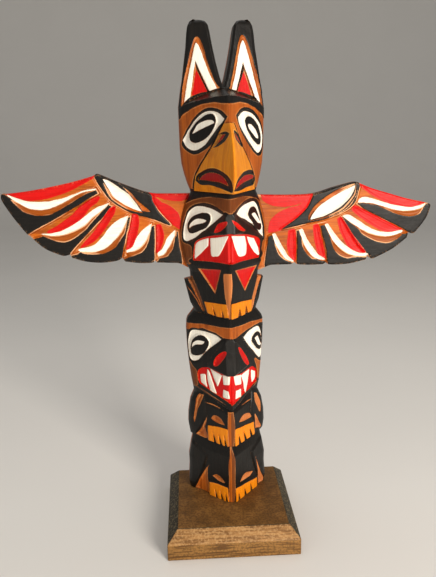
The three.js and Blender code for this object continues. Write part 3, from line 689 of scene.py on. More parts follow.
def body_strokes(side):
    """All the paint below the head on one side, in the order it was laid on."""
    edge, red = BREAST_TRIANGLE[side]
    left = side < 0
    strokes = [("brown", UPPER_DARK[side]), ("black", UPPER_HAT), ("black", UPPER_NOSE[side])]
    strokes += [("black", BODY_BLACK[side]), ("bare", LOWER_BROW[side])]
    # On the left, the lower cheek gets brown painted shade; the chin line is brown painted shade on both
    # sides.
    strokes += [("brown" if left else "bare", LOWER_CHEEK[side]), ("brown", CHIN_LINE[side])]
    for face in ("upper mask", "lower mask"):
        strokes += eye_strokes(EYES[face][side])
    strokes += [("red", UPPER_NOSTRIL[side]), ("red", LOWER_NOSTRIL[side])]
    strokes += [("red", UPPER_MOUTH[side]), ("red", LOWER_MOUTH[side])]
    strokes += [("white", tooth) for tooth in UPPER_TEETH[side]]
    strokes += [("white", tooth, 0.25) for tooth in LOWER_TEETH[side]]
    strokes += [("tan", edge), ("red", red, 0.3)]
    strokes += TAIL_STRIPS[side]
    strokes += [("tan", BREAST_STRIP[side])]
    # Slivers and almonds are plain stain on the shaded left and pale tan on the lit right, where the tan is
    # partly a painted highlight. The right limb strips are brown.
    strokes += [("bare" if left else "brown", strip) for strip in LIMB_STRIP[side]]
    strokes += [("bare" if left else "tan", shape) for shape in LIMB_BARE[side] + ALMONDS[side]]
    strokes += [("yellow", row["block"]) for row in CLAWS[side]]
    # The notches between the breast's claws are filled brown as painted shade; the lower rows' notches are
    # black.
    for row, fill in zip(CLAWS[side], ("brown", "black", "black")):
        strokes += [(fill, slit) for slit in slits_of(row)]
    return strokes


print("strokes a side:", len(body_strokes(1)) + len(ear_strokes(1)))

# %% [markdown]
# ## The pole's body
#
# Seen from the front the pole is a height field: every point has one depth. Stations up the pole give
# its half width, the place of its sharp front ridge and of its side corner, and straight lines between
# them are the flat knife cuts. On top of that come the raised forms (brows, noses, lobes, claws) and the
# hollows (eyes, mouths, nostrils, slivers). It could be sculpted, but then nothing would line up with
# the paint. Here the same outlines drive both.

# %% Stations up the pole: height, half width, ridge, corner
STATIONS = np.array([
    (19.3, 27.6, -11, 17), (24, 28.6, -11, 17.5), (36, 27.8, -11, 17.5), (44, 28, -11, 17.5),
    (54, 26.2, -11, 17),
    (61.4, 24.6, -5, 17), (62.4, 26.6, -10.5, 17), (70, 27.8, -10.5, 17.5), (78, 27.5, -10.5, 17.5),
    (88, 25.8, -10.5, 17),
    (94.4, 23, -7, 16), (95.6, 23.2, -13, 15.5), (104, 24.6, -13, 16.5), (116, 26, -12.5, 17.5),
    (128, 27, -11, 17.5), (142, 27.4, -10, 17.5), (147.6, 27, -10, 17), (150, 26.2, -10.2, 17),
    (155.4, 22, -7.7, 15), (156.2, 21.4, -16, 13), (162, 24.2, -16, 15), (177.4, 27.7, -16.5, 17),
    (178.4, 23.2, -16.5, 15), (184, 23.6, -16.5, 15), (189, 26.2, -17, 16),
    (192.6, 27.4, -17, 17), (193.6, 27.8, -19.5, 17), (205, 29.6, -19, 17.5), (213, 29.5, -19, 17.5),
    (221, 28.2, -18, 17.5), (228.5, 26, -17.5, 17), (231.4, 24.6, -17.5, 16), (237.4, 21.8, -16.8, 14),
    (238.4, 21.8, -19, 12), (243, 23.6, -19, 13.5), (249, 25.4, -19, 15.5), (256, 27, -19, 17),
    (266, 27.8, -19, 17.5), (291.8, 28.1, -18.6, 17), (295, 27.6, -18.4, 16.5), (302.6, 26.4, -18.4, 16),
])
CROTCH = 302.6
POLE_BACK = 25.5
EAR_LEVELS = (302.6, 309, 318, 328, 337, 341, 343.6, 344.7)
EAR_INNER = (0, 2, 4.1, 6, 7.4, 8.3, 10.1, 12.6)
EAR_OUTER = (26.4, 25.2, 23.9, 22.4, 21.6, 20.9, 19.6, 17.4)
SEAT_LEVELS = (238.6, 248, 256, 266, 280.3)
SEAT_PLACES = (9.8, 7.4, 1.9, -6.2, -14.8)
TAIL_TOP = 178.4
TAIL_FOOT = 156.2
TAIL_SLOPE = 1.356
FLAP_SLOPE = 0.44
CHIN_LEVEL = 95
CHIN_REACH = 13


def station(z, column):
    """One column of the stations at any height."""
    return np.interp(z, STATIONS[:, 0], STATIONS[:, column])


def outer_edge(z):
    """Distance from the ridge to the side corner of the body or of an ear."""
    return np.where(z > CROTCH, np.interp(z, EAR_LEVELS, EAR_OUTER), station(z, 1))


def slope(z):
    """How steeply the flank falls back from the ridge."""
    return (station(z, 3) - station(z, 2)) / station(z, 1)


def beak_edge(z):
    """Distance from the ridge at which the beak's seat meets the flank."""
    return (np.interp(z, SEAT_LEVELS, SEAT_PLACES) - station(z, 2)) / slope(z)


def flank(u, z):
    """Depth of the plain knife-cut flank. The step under the lower mask is bent into a V like a chin."""
    near_chin = 1 - ease(np.abs(z - CHIN_LEVEL), 2, CHIN_REACH)
    level = z - (0.5 * u - 6) * near_chin
    half, ridge, corner = station(z, 1), station(level, 2), station(level, 3)
    soft = np.sqrt(u * u + 0.5) - 0.5
    plane = ridge + (corner - ridge) * soft / half
    tail = np.minimum(ridge + TAIL_SLOPE * soft, corner - FLAP_SLOPE * (half - u))
    return np.where((z > TAIL_FOOT) & (z < TAIL_TOP), tail, plane)


print("half width at the upper mask:", station(205, 1), "mm")

# %% Raised and hollowed forms, all depths in millimetres
UPPER_HAT_TOP = 238
BAND_RISE = 1.5
LOWER_HAT_RISE = 3.3
NOSE_RISE = 2.0
LOBE_RISE = 1.5
CLAW_RISE = 0.7
CLAW_TIP_RISE = 1.1
CLAW_RUN = 5
MOUTH_DEPTH = 1.7
TOOTH_RISE = 0.75
BLUNT_DEPTH = 1.9
BLUNT_WIDE = 6
NOSTRIL_DEPTH = 1.5
TRIANGLE_DEPTH = 1.4
SLIVER_DEPTH = 1.5
ALMOND_DEPTH = 1.1
TAIL_STRIP_DEPTH = 1.1
SLIT_DEPTH = 1.5
NOSES = [
    outline([(-8, 226), (2.6, 225.6), (6, 220), (11.6, 213.4)], [(9, 211.4), (-8, 212.6)]),
    outline([(-8, 141), (2.8, 141), (8.6, 131), (14.4, 118.6)], [(10, 116), (-8, 115)]),
]
LOBES = [
    outline([(17.2, 97), (26, 92), (30, 76), (28, 63)], [(22.6, 63.6), (16.2, 80)]),
    outline([(15.6, 50), (31, 56), (31, 18)], [(24.8, 19), (19.5, 33)]),
]


def raised(u, z, side):
    """How far the carved forms stand proud of the flank, in mm."""
    half = station(z, 1)
    total = carve(u, z, BROW_BAND, BAND_RISE, -0.3, 0.5)
    total += carve(u, z, UPPER_HAT, BAND_RISE, -0.3, 0.5) * (z < UPPER_HAT_TOP)
    total += carve(u, z, LOWER_HAT, LOWER_HAT_RISE * (1 - 0.75 * u / half), -0.3, 0.5) * (z < LOWER_HAT_TOP)
    for loop in NOSES:
        total += carve(u, z, loop, NOSE_RISE, -0.3, 1.6)
    for loop in LOBES:
        total += carve(u, z, loop, LOBE_RISE, -0.4, 1.8)
    for row in CLAWS[side]:
        low = 1 - ease(z, row["foot"], row["top"] + CLAW_RUN)
        total += carve(u, z, row["block"], CLAW_RISE + CLAW_TIP_RISE * low, -0.4, 0.3)
    return total

# %% Hollows and flats


def hollowed(u, z, side):
    """How deep the knife went below the flank, in mm."""
    total = np.zeros(u.shape)
    for face in EYES:
        total += eye_depth(u, z, EYES[face][side])
    for mouth, teeth, lip in ((UPPER_MOUTH, UPPER_TEETH, 0.6), (LOWER_MOUTH, LOWER_TEETH, 0.5)):
        floor_depth = carve(u, z, mouth[side], MOUTH_DEPTH, -0.1, lip)
        for tooth in teeth[side]:
            floor_depth -= carve(u, z, tooth, TOOTH_RISE, -0.3, 0.35)
        blunt = np.maximum(BLUNT_DEPTH + 0.1 * u * u - slope(z) * u, 0) * (u < BLUNT_WIDE)
        total += floor_depth + carve(u, z, mouth[side], blunt, -0.1, lip)
    for nostril in (UPPER_NOSTRIL, LOWER_NOSTRIL):
        total += carve(u, z, nostril[side], NOSTRIL_DEPTH, -0.1, 1.1)
    total += carve(u, z, BREAST_TRIANGLE[side][0], TRIANGLE_DEPTH, -0.1, 1.5)
    for shape in LIMB_BARE[side]:
        total += carve(u, z, shape, SLIVER_DEPTH, -0.2, 1.6)
    for shape in ALMONDS[side]:
        total += carve(u, z, shape, ALMOND_DEPTH, -0.1, 1.2)
    for _, strip in TAIL_STRIPS[side]:
        total += carve(u, z, strip, TAIL_STRIP_DEPTH, -0.4, 0.5)
    for row in CLAWS[side]:
        for slit in slits_of(row):
            total += carve(u, z, slit, SLIT_DEPTH, -0.35, 0.45)
    return total


def strip_flat(u, z, side):
    """How strongly the ridge is planed flat into a narrow strip: 0 to 1."""
    strips = [BREAST_STRIP[side], *LIMB_STRIP[side]]
    return sum(ease(inside(u, z, strip), -0.3, 0.3) for strip in strips)


print("raised noses and lobes a side:", len(NOSES) + len(LOBES))

# %% The front surface
EAR_DEPTH = 5
EAR_TWIST = 0.35
EAR_LEAN = 0.12
EAR_BACK_LEAN = 0.1
EAR_GROOVE = 1.0
HEART_DEPTH = 0.9
EAR_RIM = 1.3
EAR_TIP_ROUND = 3.4
EAR_TIP_FALL = 3.2
EAR_TIP_BLUNT = 0.98
STRIP_DEPTH = 0.7
STRIP_SLOPE = 0.4
NOSE_BLUNT = 1.0
CORNER_ROUND = 1.1
CORNER_TOP = 300
BROW_TOP = 296.2
BROW_DROP = 3.5
CROWN_RISE = 4.4
KNIFE_MARKS = 0.12


def tip_fall(z):
    """How far an ear's rounded tip falls away from its face and from its back."""
    share = np.clip((z - (EAR_LEVELS[-1] - EAR_TIP_ROUND)) / EAR_TIP_ROUND, 0, 1)
    return EAR_TIP_FALL * (1 - np.sqrt(1 - EAR_TIP_BLUNT * share * share))


def ear_face(u, z, side):
    """Depth of the ear's face, with the groove round the white and the hollow of its heart."""
    ear = EARS[side]
    groove = np.minimum(inside(u, z, ear["groove"]), -inside(u, z, ear["white"]))
    carved = EAR_GROOVE * ease(groove, -0.3, 0.9) + carve(u, z, ear["heart"], HEART_DEPTH, -0.3, 0.8)
    inner = np.interp(z, EAR_LEVELS, EAR_INNER)
    rim = np.minimum(u - inner, outer_edge(z) - u)
    carved += EAR_RIM * (1 - ease(rim, 0, 1.8)) * (z > CROTCH)
    return EAR_DEPTH + EAR_TWIST * u + EAR_LEAN * (z - CROTCH) + carved + tip_fall(z)


def front(u, z, side):
    """Depth of the whole front surface at a distance from the ridge and a height."""
    body = flank(u, z) - raised(u, z, side) + hollowed(u, z, side)
    planed = station(z, 2) + STRIP_DEPTH + STRIP_SLOPE * u
    body = body + np.maximum(planed - body, 0) * strip_flat(u, z, side)
    for loop in NOSES:
        body = body + carve(u, z, loop, np.maximum(station(z, 2) + NOSE_BLUNT - body, 0), 0, 1)
    body = body + CORNER_ROUND * (1 - ease(outer_edge(z) - u, 0, 1.5)) * (z < CORNER_TOP)
    brow_top = BROW_TOP - BROW_DROP * (u / 25) ** 2
    crown = body + CROWN_RISE * np.maximum(z - brow_top, 0)
    ear = ear_face(u, z, side)
    result = np.where(z > brow_top, np.maximum(body, np.minimum(ear, crown)), body)
    result = np.where(z > CROTCH, ear, result)
    seat = np.interp(z, SEAT_LEVELS, SEAT_PLACES)
    in_seat = (z > SEAT_LEVELS[0] - 0.3) & (z < SEAT_LEVELS[-1])
    result = np.where(in_seat, np.maximum(result, seat), result)
    knife = wander(u.ravel() * side, z.ravel(), 7, 3).reshape(u.shape)
    return result + KNIFE_MARKS * knife * (1 - in_seat)


print("the ridge at the lower mask:", front(np.array([0.0]), np.array([128.0]), 1).round(2), "mm")

# %% [markdown]
# ## Making the pole's mesh
#
# Each half of the pole is one grid primitive wrapped round it: its columns run from the ridge to the
# side corner, back along the side, across the back and up the inner wall of the ear, and its rows climb
# the pole. Below the place where the ears part there is no inner wall, so those faces are deleted. The
# two halves are then merged along the centre line and the open ends are filled.

# %% Levels and rings
ROWS_BODY = 556
ROWS_EAR = 84
FRONT_COLUMNS = 50
SIDE_STEPS = 4
TURN_STEPS = 3
BACK_STEPS = (3, 5)
INNER_STEPS = 5
BACK_ROUND = 2.4
REBATE_FRONT = 18.3
REBATE_INNER = 20.5
REBATES = {-1: (188.5, 238), 1: (183.1, 236.4)}
KEY_LEVELS = [*STATIONS[:, 0], SEAT_LEVELS[-1], *REBATES[-1], *REBATES[1]]
HIP_OUT = 0.7
HIP_IN = 0.3


def levels():
    """Heights of the rows, each station's own height among them."""
    body = np.linspace(STATIONS[0, 0], CROTCH, ROWS_BODY)
    for key in KEY_LEVELS:
        body[np.abs(body - key).argmin()] = key
    ear = np.linspace(CROTCH, EAR_LEVELS[-1], ROWS_EAR + 1)[1:]
    return np.concatenate([np.sort(body), ear])


def along(start, end, steps):
    """Points from start to end, without the start: arrays of shape (rows, steps, 2)."""
    share = np.arange(1, steps + 1)[None, :, None] / steps
    return start[:, None, :] + (end - start)[:, None, :] * share


def rings(side):
    """Every ring of one half: an array of shape (rows, columns, 3) in the pole's frame."""
    z = levels()
    inner = np.where(z > CROTCH, np.interp(z, EAR_LEVELS, EAR_INNER), 0)
    outer = outer_edge(z)
    share = np.linspace(0, 1, FRONT_COLUMNS + 1)
    u = inner[:, None] + (outer - inner)[:, None] * share[None, :]
    heights = np.repeat(z[:, None], FRONT_COLUMNS + 1, axis=1)
    y = front(u, heights, side)
    back = POLE_BACK - np.where(z > CROTCH, EAR_BACK_LEAN * (z - CROTCH), 0) - tip_fall(z)
    cut = (z > REBATES[side][0]) & (z < REBATES[side][1])

    def pair(a, b):
        return np.stack([np.broadcast_to(a, z.shape), np.broadcast_to(b, z.shape)], axis=1)

    corner = pair(outer, y[:, -1])
    heel = np.where(cut[:, None], pair(outer, REBATE_FRONT), pair(outer, back - BACK_ROUND))
    turn = np.where(cut[:, None], pair(REBATE_INNER, REBATE_FRONT), pair(outer - BACK_ROUND, back))
    shoulder = np.minimum(REBATE_INNER, (outer - BACK_ROUND) * HIP_OUT + inner * HIP_IN)
    hip = np.where(cut[:, None], pair(REBATE_INNER, back), pair(shoulder, back))
    spine = pair(inner, back)
    toe = pair(inner, y[:, 0])
    path = np.concatenate([
        np.stack([u, y], axis=2),
        along(corner, heel, SIDE_STEPS),
        along(heel, turn, TURN_STEPS),
        along(turn, hip, BACK_STEPS[0]),
        along(hip, spine, BACK_STEPS[1]),
        along(spine, toe, INNER_STEPS),
    ], axis=1)
    height = np.broadcast_to(z[:, None], path.shape[:2])
    return np.stack([side * path[:, :, 0], path[:, :, 1], height], axis=2)


print("rows up the pole:", len(levels()))

# %% Grids wrapped into shape


def vectors_of(group, name):
    """One vector property of all vertices or all faces, as an array of shape (count, 3)."""
    flat = np.zeros(len(group) * 3)
    group.foreach_get(name, flat)
    return flat.reshape(-1, 3)


def places_of(piece):
    """Where the vertices are."""
    return vectors_of(piece.data.vertices, "co")


def put(piece, places):
    """Moves the vertices to new places."""
    piece.data.vertices.foreach_set("co", places.astype(np.float32).ravel())
    piece.data.update()


def wrapped_grid(name, places):
    """A grid primitive whose vertices are put at an array of places of shape (rows, columns, 3)."""
    rows, columns = places.shape[:2]
    deselect()
    bpy.ops.mesh.primitive_grid_add(x_subdivisions=columns - 1, y_subdivisions=rows - 1, size=2)
    made = bpy.context.object
    made.name = name
    flat = places_of(made)
    column = np.rint((flat[:, 0] + 1) / 2 * (columns - 1)).astype(int)
    row = np.rint((flat[:, 1] + 1) / 2 * (rows - 1)).astype(int)
    put(made, places[row, column])
    return made


def delete_faces(piece, doomed):
    """Deletes the faces that an array of truths names."""
    pick(piece)
    for group in (piece.data.vertices, piece.data.edges):
        group.foreach_set("select", [False] * len(group))
    piece.data.polygons.foreach_set("select", doomed)
    bpy.ops.object.mode_set(mode="EDIT")
    bpy.ops.mesh.select_mode(type="FACE")
    bpy.ops.object.mode_set(mode="OBJECT")
    piece.data.polygons.foreach_set("select", doomed)
    bpy.ops.object.mode_set(mode="EDIT")
    bpy.ops.mesh.delete(type="FACE")
    bpy.ops.object.mode_set(mode="OBJECT")


def close_up(piece, distance):
    """Merges doubles, fills open ends and turns every face outwards."""
    pick(piece)
    bpy.ops.object.mode_set(mode="EDIT")
    bpy.ops.mesh.select_mode(type="VERT")
    bpy.ops.mesh.select_all(action="SELECT")
    bpy.ops.mesh.remove_doubles(threshold=distance)
    bpy.ops.mesh.select_all(action="DESELECT")
    bpy.ops.mesh.select_non_manifold(extend=False, use_wire=False, use_multi_face=False,
                                     use_non_contiguous=False, use_verts=False)
    bpy.ops.mesh.fill_holes(sides=0)
    bpy.ops.mesh.select_all(action="SELECT")
    bpy.ops.mesh.normals_make_consistent(inside=False)
    bpy.ops.object.mode_set(mode="OBJECT")


def join(name, pieces):
    """Joins pieces into the first of them."""
    deselect()
    for piece in pieces:
        piece.select_set(True)
    bpy.context.view_layer.objects.active = pieces[0]
    bpy.ops.object.join()
    pieces[0].name = name
    return pieces[0]

# %% The pole's two halves


def pole_half(side):
    """One half of the pole, without the inner wall below the place where the ears part."""
    half = wrapped_grid("pole_half", rings(side))
    order = np.zeros(len(half.data.polygons) * 4, int)
    half.data.polygons.foreach_get("vertices", order)
    rows = ROWS_BODY + ROWS_EAR
    columns = FRONT_COLUMNS + 1 + SIDE_STEPS + TURN_STEPS + sum(BACK_STEPS) + INNER_STEPS
    last_wall = order.reshape(-1, 4).max(axis=1) % columns >= columns - INNER_STEPS
    low = vectors_of(half.data.polygons, "center")[:, 2] < CROTCH
    delete_faces(half, last_wall & low)
    print("half with", rows, "rows and", columns, "columns")
    return half


pole = join("pole_carved", [pole_half(-1), pole_half(1)])
close_up(pole, 0.02)
print("pole faces:", len(pole.data.polygons))

# %% [markdown]
# ## Storing the paint on a mesh
#
# Each paint's distance becomes a number on every vertex, which the material reads as an attribute. One
# more number, the relief, says whether a point stands proud of its neighbours or lies in a cut. The
# material paints a highlight on proud edges, where a few chips of real wear also show, and paints shade into
# cuts.

# %% Paint and relief as attributes
BRUSH_WANDER = 0.22
# The black strip of painted shade along the beak's glued seam: its reach in and out, in mm, and its steps.
SEAM_IN = 0.5
SEAM_OUT = 0.8
SEAM_STEPS = 12
PAINT_REACH = 5.2
BRUSH_SIZE = 4.5
RELIEF_ROUNDS = 6
SMOOTH_ANGLE = 35


def store(piece, name, values):
    """Keeps one number a vertex under a name."""
    attribute = piece.data.attributes.new(name, "FLOAT", "POINT")
    attribute.data.foreach_set("value", np.asarray(values, np.float32))


def hand_shaken(x, z):
    """Moves points a little, so that every painted edge wanders as a hand-held brush does."""
    return (x + BRUSH_WANDER * wander(x, z, BRUSH_SIZE, 11),
            z + BRUSH_WANDER * wander(x, z, BRUSH_SIZE, 27))


def smoothed(piece, values, times):
    """The values averaged with their neighbours' along the edges, a number of times."""
    ends = np.zeros(len(piece.data.edges) * 2, int)
    piece.data.edges.foreach_get("vertices", ends)
    a, b = ends.reshape(-1, 2).T
    count = np.bincount(a, minlength=len(values)) + np.bincount(b, minlength=len(values))
    for _ in range(times):
        total = np.bincount(a, values[b], len(values)) + np.bincount(b, values[a], len(values))
        values = 0.5 * values + 0.5 * total / np.maximum(count, 1)
    return values


def relief_of(piece):
    """Positive where a vertex stands proud of its neighbours along its normal, in mm."""
    places = places_of(piece)
    normals = vectors_of(piece.data.vertices, "normal")
    average = np.stack([smoothed(piece, places[:, axis].copy(), RELIEF_ROUNDS) for axis in range(3)], axis=1)
    return ((places - average) * normals).sum(axis=1)


def dress(piece, strokes_of, bare_behind):
    """Stores the paints and the relief on a piece that is still in the pole's frame."""
    places = places_of(piece)
    x, z = hand_shaken(places[:, 0], places[:, 2])
    coat = new_coat(len(places))
    for side in (-1, 1):
        mine = places[:, 0] * side >= (0 if side > 0 else 1e-6)
        part = {paint: coat[paint][mine] for paint in PAINTS}
        paint_all(part, x[mine] * side, z[mine], strokes_of(side))
        for paint in PAINTS:
            coat[paint][mine] = part[paint]
    behind = bare_behind(places)
    for paint in PAINTS:
        store(piece, paint, np.where(behind, -FAR, coat[paint]))
    store(piece, "relief", np.where(behind, 0, relief_of(piece)))


def finish_piece(piece, node):
    """Moves a finished piece to the model's frame, smooths it, hangs it on the root and hides its CAD node.
    """
    put(piece, to_model(places_of(piece)))
    pick(piece)
    bpy.ops.object.shade_smooth_by_angle(angle=math.radians(SMOOTH_ANGLE))
    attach(piece, "root")
    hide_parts(node)

# %% Dress the pole


def pole_strokes(side):
    """All the paint of one side of the pole, with a black strip of painted shade along the beak's glued seam.
    """
    height = np.linspace(SEAT_LEVELS[0], SEAT_LEVELS[-1], SEAM_STEPS)
    seam_shade = np.vstack([np.stack([beak_edge(height) - SEAM_IN, height], axis=1),
                      np.stack([beak_edge(height) + SEAM_OUT, height], axis=1)[::-1]])
    return (ear_strokes(side) + [("black", seam_shade)] + eye_strokes(EYES["head"][side])
            + body_strokes(side))


dress(pole, pole_strokes, lambda places: places[:, 1] > POLE_BACK - PAINT_REACH)
finish_piece(pole, "pole")
print("pole box:", places_of(pole).min(axis=0).round(4), places_of(pole).max(axis=0).round(4))

# %% [markdown]
# ## The beak
#
# The beak is a block of yellow wood glued to a sloping cut in the head. It goes on as the same kind of
# height field, with its own ridge line that bulges and then hooks in at the tip. One grid runs across
# the two flanks and back along the glued face.

# %% Beak outlines
BEAK_FOOT = 238.6
BEAK_TOP = 280.0
BEAK_RIDGE = np.array([(238.6, -31), (241.5, -35), (246, -37.4), (254, -37.8), (263, -35.6), (271, -31),
                       (280, -22.5)])
BEAK_ROWS = 141
BEAK_COLUMNS = 151
BEAK_BACK_STEPS = 12
GLUE_GAP = 0.3
BEAK_GAP = 0.15
BEAK_MOUTH_DEPTH = 2.0
TONGUE_RISE = 0.7
BEAK_NOSTRIL_DEPTH = 1.7
BEAK_NOSTRIL = {
    -1: oval((9.1, 266.2), (9.3, 268.1), (6.8, 272.8), (3.8, 274.9), (1.8, 274.7), (1.6, 273.2), (3.3, 270.1),
             (6.3, 267.2)),
    1: oval((2.1, 275.4), (4.9, 274.8), (8.4, 270), (9.4, 266.3), (7.2, 266.9), (3.1, 270.7)),
}
BEAK_MOUTH = {
    -1: outline([(18.9, 245.5), (18, 248.6), (14.1, 251.9), (10.2, 253.2), (6.5, 251.9), (2.9, 248),
                 (1.2, 242.9)], [(1, 240), (7.2, 242.3), (11.6, 243.6), (16.2, 243.4)]),
    1: outline([(0.4, 240.9), (2.2, 246), (5.8, 249.6), (12, 251.4), (18.4, 250.4)],
               [(19.4, 244.9), (17.9, 242)], [(10.6, 241.8), (5.6, 240.6)]),
}
BEAK_TONGUE = {
    -1: outline([(16.9, 246.1), (14.8, 249.1), (11.5, 250.8), (7.7, 250.3), (4.7, 247.9)],
                [(2.7, 243.5), (6.6, 245.2), (11.6, 245.8)]),
    1: outline([(0.9, 241.4), (4.5, 246.3), (10.7, 248.8), (18.4, 247.9)], [(18, 246), (10.6, 245.1),
               (5.7, 243.7)]),
}

# %% Beak mesh


def beak_places():
    """The beak's ring at every level: across the front, then back along the glued face."""
    z = np.linspace(BEAK_FOOT, BEAK_TOP, BEAK_ROWS)
    seat = np.interp(z, SEAT_LEVELS, SEAT_PLACES)
    half = beak_edge(z) - BEAK_GAP
    share = np.linspace(-1, 1, BEAK_COLUMNS)
    x = half[:, None] * share[None, :]
    height = np.repeat(z[:, None], share.size, axis=1)
    ridge = np.interp(z, BEAK_RIDGE[:, 0], BEAK_RIDGE[:, 1])[:, None]
    soft = (np.sqrt(x * x + 0.6) - 0.775) / half[:, None]
    y = ridge + (seat[:, None] - GLUE_GAP - ridge) * soft
    for side in (-1, 1):
        u = np.abs(x)
        carved = carve(u, height, BEAK_MOUTH[side], BEAK_MOUTH_DEPTH, -0.1, 1.0)
        carved -= carve(u, height, BEAK_TONGUE[side], TONGUE_RISE, -0.1, 1.4)
        carved += carve(u, height, BEAK_NOSTRIL[side], BEAK_NOSTRIL_DEPTH, -0.1, 1.0)
        y = np.where(x * side >= 0, y + carved, y)
    y = y + KNIFE_MARKS * wander(x.ravel(), height.ravel(), 6, 5).reshape(x.shape)
    y = np.minimum(y, seat[:, None] - GLUE_GAP)
    front_face = np.stack([x, y, height], axis=2)
    start = np.stack([half, seat - GLUE_GAP], axis=1)
    finish = np.stack([-half, seat - GLUE_GAP], axis=1)
    glued = along(start, finish, BEAK_BACK_STEPS)
    glued = np.concatenate([glued, np.repeat(z[:, None, None], BEAK_BACK_STEPS, axis=1)], axis=2)
    return np.concatenate([front_face, glued], axis=1)


def beak_strokes(side):
    """The paint of one side of the beak. The nostril's red shrinks until a black rim shows round it."""
    return [("black", BEAK_NOSTRIL[side], 0.15), ("red", BEAK_NOSTRIL[side], -1.35),
            ("black", BEAK_MOUTH[side], 0.45), ("red", BEAK_TONGUE[side])]


beak = wrapped_grid("beak_carved", beak_places())
close_up(beak, 0.02)
dress(beak, beak_strokes, lambda places: np.zeros(len(places), bool))
finish_piece(beak, "beak")
print("beak faces:", len(beak.data.polygons))

# %% [markdown]
# ## The wings
#
# Each wing is a flat board sawn to a feathered outline. The front is carved feather by feather: a hollow
# white vane, a bevel under it painted brown as its shade, then a black underside, with red filling the
# space above. The front is triangulated from the outline and a fine lattice of points, lowered where the
# knife went, and its rim is extruded back by the board's thickness.

# %% Wing outlines
WING_FRONT = 18.6
WING_THICK = 6.4
WING_OUTLINE = {
    -1: outline([(20.8, 236.1), (36, 236.3), (49.5, 237.3), (66, 243.2), (80.6, 249.6)],
                [(83.4, 250.5)], [(85.9, 249), (99, 245.6), (113.3, 242.7), (128, 240.3), (141.4, 238.9)],
                [(144.4, 239.1), (145.2, 237.8), (144.4, 233.6), (138, 222.6), (131, 212.6)],
                [(129, 211.2)],
                [(126.9, 208.4), (119.6, 201.9), (110.2, 197.4), (107, 196.9)],
                [(104, 197.6)],
                [(103, 195.4), (94.6, 192.6), (84.8, 191.2), (76, 191.6), (71.5, 192.6)],
                [(69.5, 194)],
                [(67.6, 191.4), (58, 189.9), (49.2, 189.8)],
                [(47.5, 191.4)],
                [(46, 189.8), (32, 188.9), (20.8, 188.8)]),
    1: outline([(20.8, 234.2), (45, 233.2), (64, 233.7), (78, 237.5), (90.6, 240.5)],
               [(94.4, 241)], [(97, 239.7), (106, 236.1), (118.6, 232.3), (131, 228.6), (143.2, 225.8)],
               [(148, 224.6), (149, 222.6), (146.4, 214.6), (138.8, 204.6)],
               [(136, 203.6), (133.9, 204.2)],
               [(132.6, 200.6), (122.6, 193.2), (109.2, 186.8)],
               [(106.4, 186.6), (103.9, 188.6)],
               [(102.6, 185.8), (90, 183.4), (76.6, 183.3)],
               [(73.5, 185.2)],
               [(71.4, 183.8), (62, 183.7), (53.1, 184.5)],
               [(50.5, 186.2)],
               [(48, 184.7), (34, 184.9), (20.8, 185.5)]),
}
SHOULDER = {
    -1: outline([(85.1, 250.4), (81, 252), (62.7, 243.6), (49, 236.9)], [(47.1, 232), (43.2, 224.3),
                (35.6, 215)], [(46.8, 219.4), (58.6, 222.9), (66.8, 227), (74.9, 232.8), (81, 241.4),
                (84.2, 247.2)]),
    1: outline([(63.6, 234.4), (72.3, 239), (90.4, 242.4), (95, 242.4)], [(97, 239.6), (94.8, 231.5),
               (93.6, 227.1), (89.1, 222.8), (83.7, 219.9), (78.3, 217.8), (71, 215.4), (60, 213.4),
               (50, 211.4)], [(40.2, 209.6), (49.1, 215.2), (56.3, 221.2), (60.3, 226.3)]),
}
LENS = {
    -1: outline([(79.3, 247.2), (75, 245.6), (68.6, 241), (63, 236.7), (59, 231.5)], [(54.6, 224.9),
                (60.4, 227), (65, 229.4), (71.5, 233.8), (75.3, 239.4), (77.6, 243.8)]),
    1: outline([(92.8, 238.8), (92, 235.1), (88.9, 229.9), (83.6, 224.8), (78.2, 221.4), (70.9, 218.1)],
               [(61.4, 215.8), (62.7, 218.8), (67.1, 224.4), (74.3, 229.5), (81.5, 233.6), (88.7, 237)]),
}
ROOT_RED = {
    -1: [outline([(49.2, 236.6), (46.1, 235.6), (37.7, 232.9), (30.1, 231.8), (24.6, 232.8)],
                 [(22, 234.6)], [(22, 239)], [(49.4, 240)]),
         outline([(48.4, 236)], [(41.3, 230.2), (35.4, 227.2), (31.2, 223), (29.4, 217.8)],
                 [(30, 213), (34.9, 216.9), (41.5, 224.2), (46.3, 231.2)])],
    1: [outline([(26, 236.5)], [(64.6, 236)], [(64.4, 233.6), (60.7, 230.7), (52.6, 227.4), (45.4, 226.1),
                (38.2, 226.3), (32, 228)], [(28, 230.6)]),
        outline([(32.2, 208.3), (32.4, 212), (33.6, 215.9), (38.2, 220.4), (45.4, 223.7), (52.6, 225.3),
                 (57.1, 227.8)], [(63.3, 233), (60.3, 226.3), (56.3, 221.2), (49.1, 215.2), (40.1, 209.6)])],
}
WING_LINES = {
    -1: [outline([(67, 242.4), (61.6, 237.6), (57.4, 232.6)], [(48.7, 224.4)],
                 [(54.2, 225.4), (58.2, 231.5)]),
         ribbon([(79, 244.4), (76.2, 238.6), (72.2, 233.3), (65.4, 228.8), (60.4, 226.2), (54, 224)], 2.2)],
    1: [ribbon([(60.4, 215.4), (61.4, 219.4), (66.1, 225.3), (73.7, 230.7), (81, 234.8), (88.3, 238.1),
                (92.7, 239.6)], 2.6),
        ribbon([(93.6, 239), (92.6, 232.5), (87.7, 225.8), (81.8, 221.2), (72.8, 217.5), (61, 214.8)], 1.0),
        ribbon([(94.8, 235.4), (93.5, 230.7), (89.1, 224.4), (81.9, 219.8), (72.8, 216.7)], 0.55)],
}
print("points in each wing's outline:", [len(WING_OUTLINE[side]) for side in (-1, 1)])

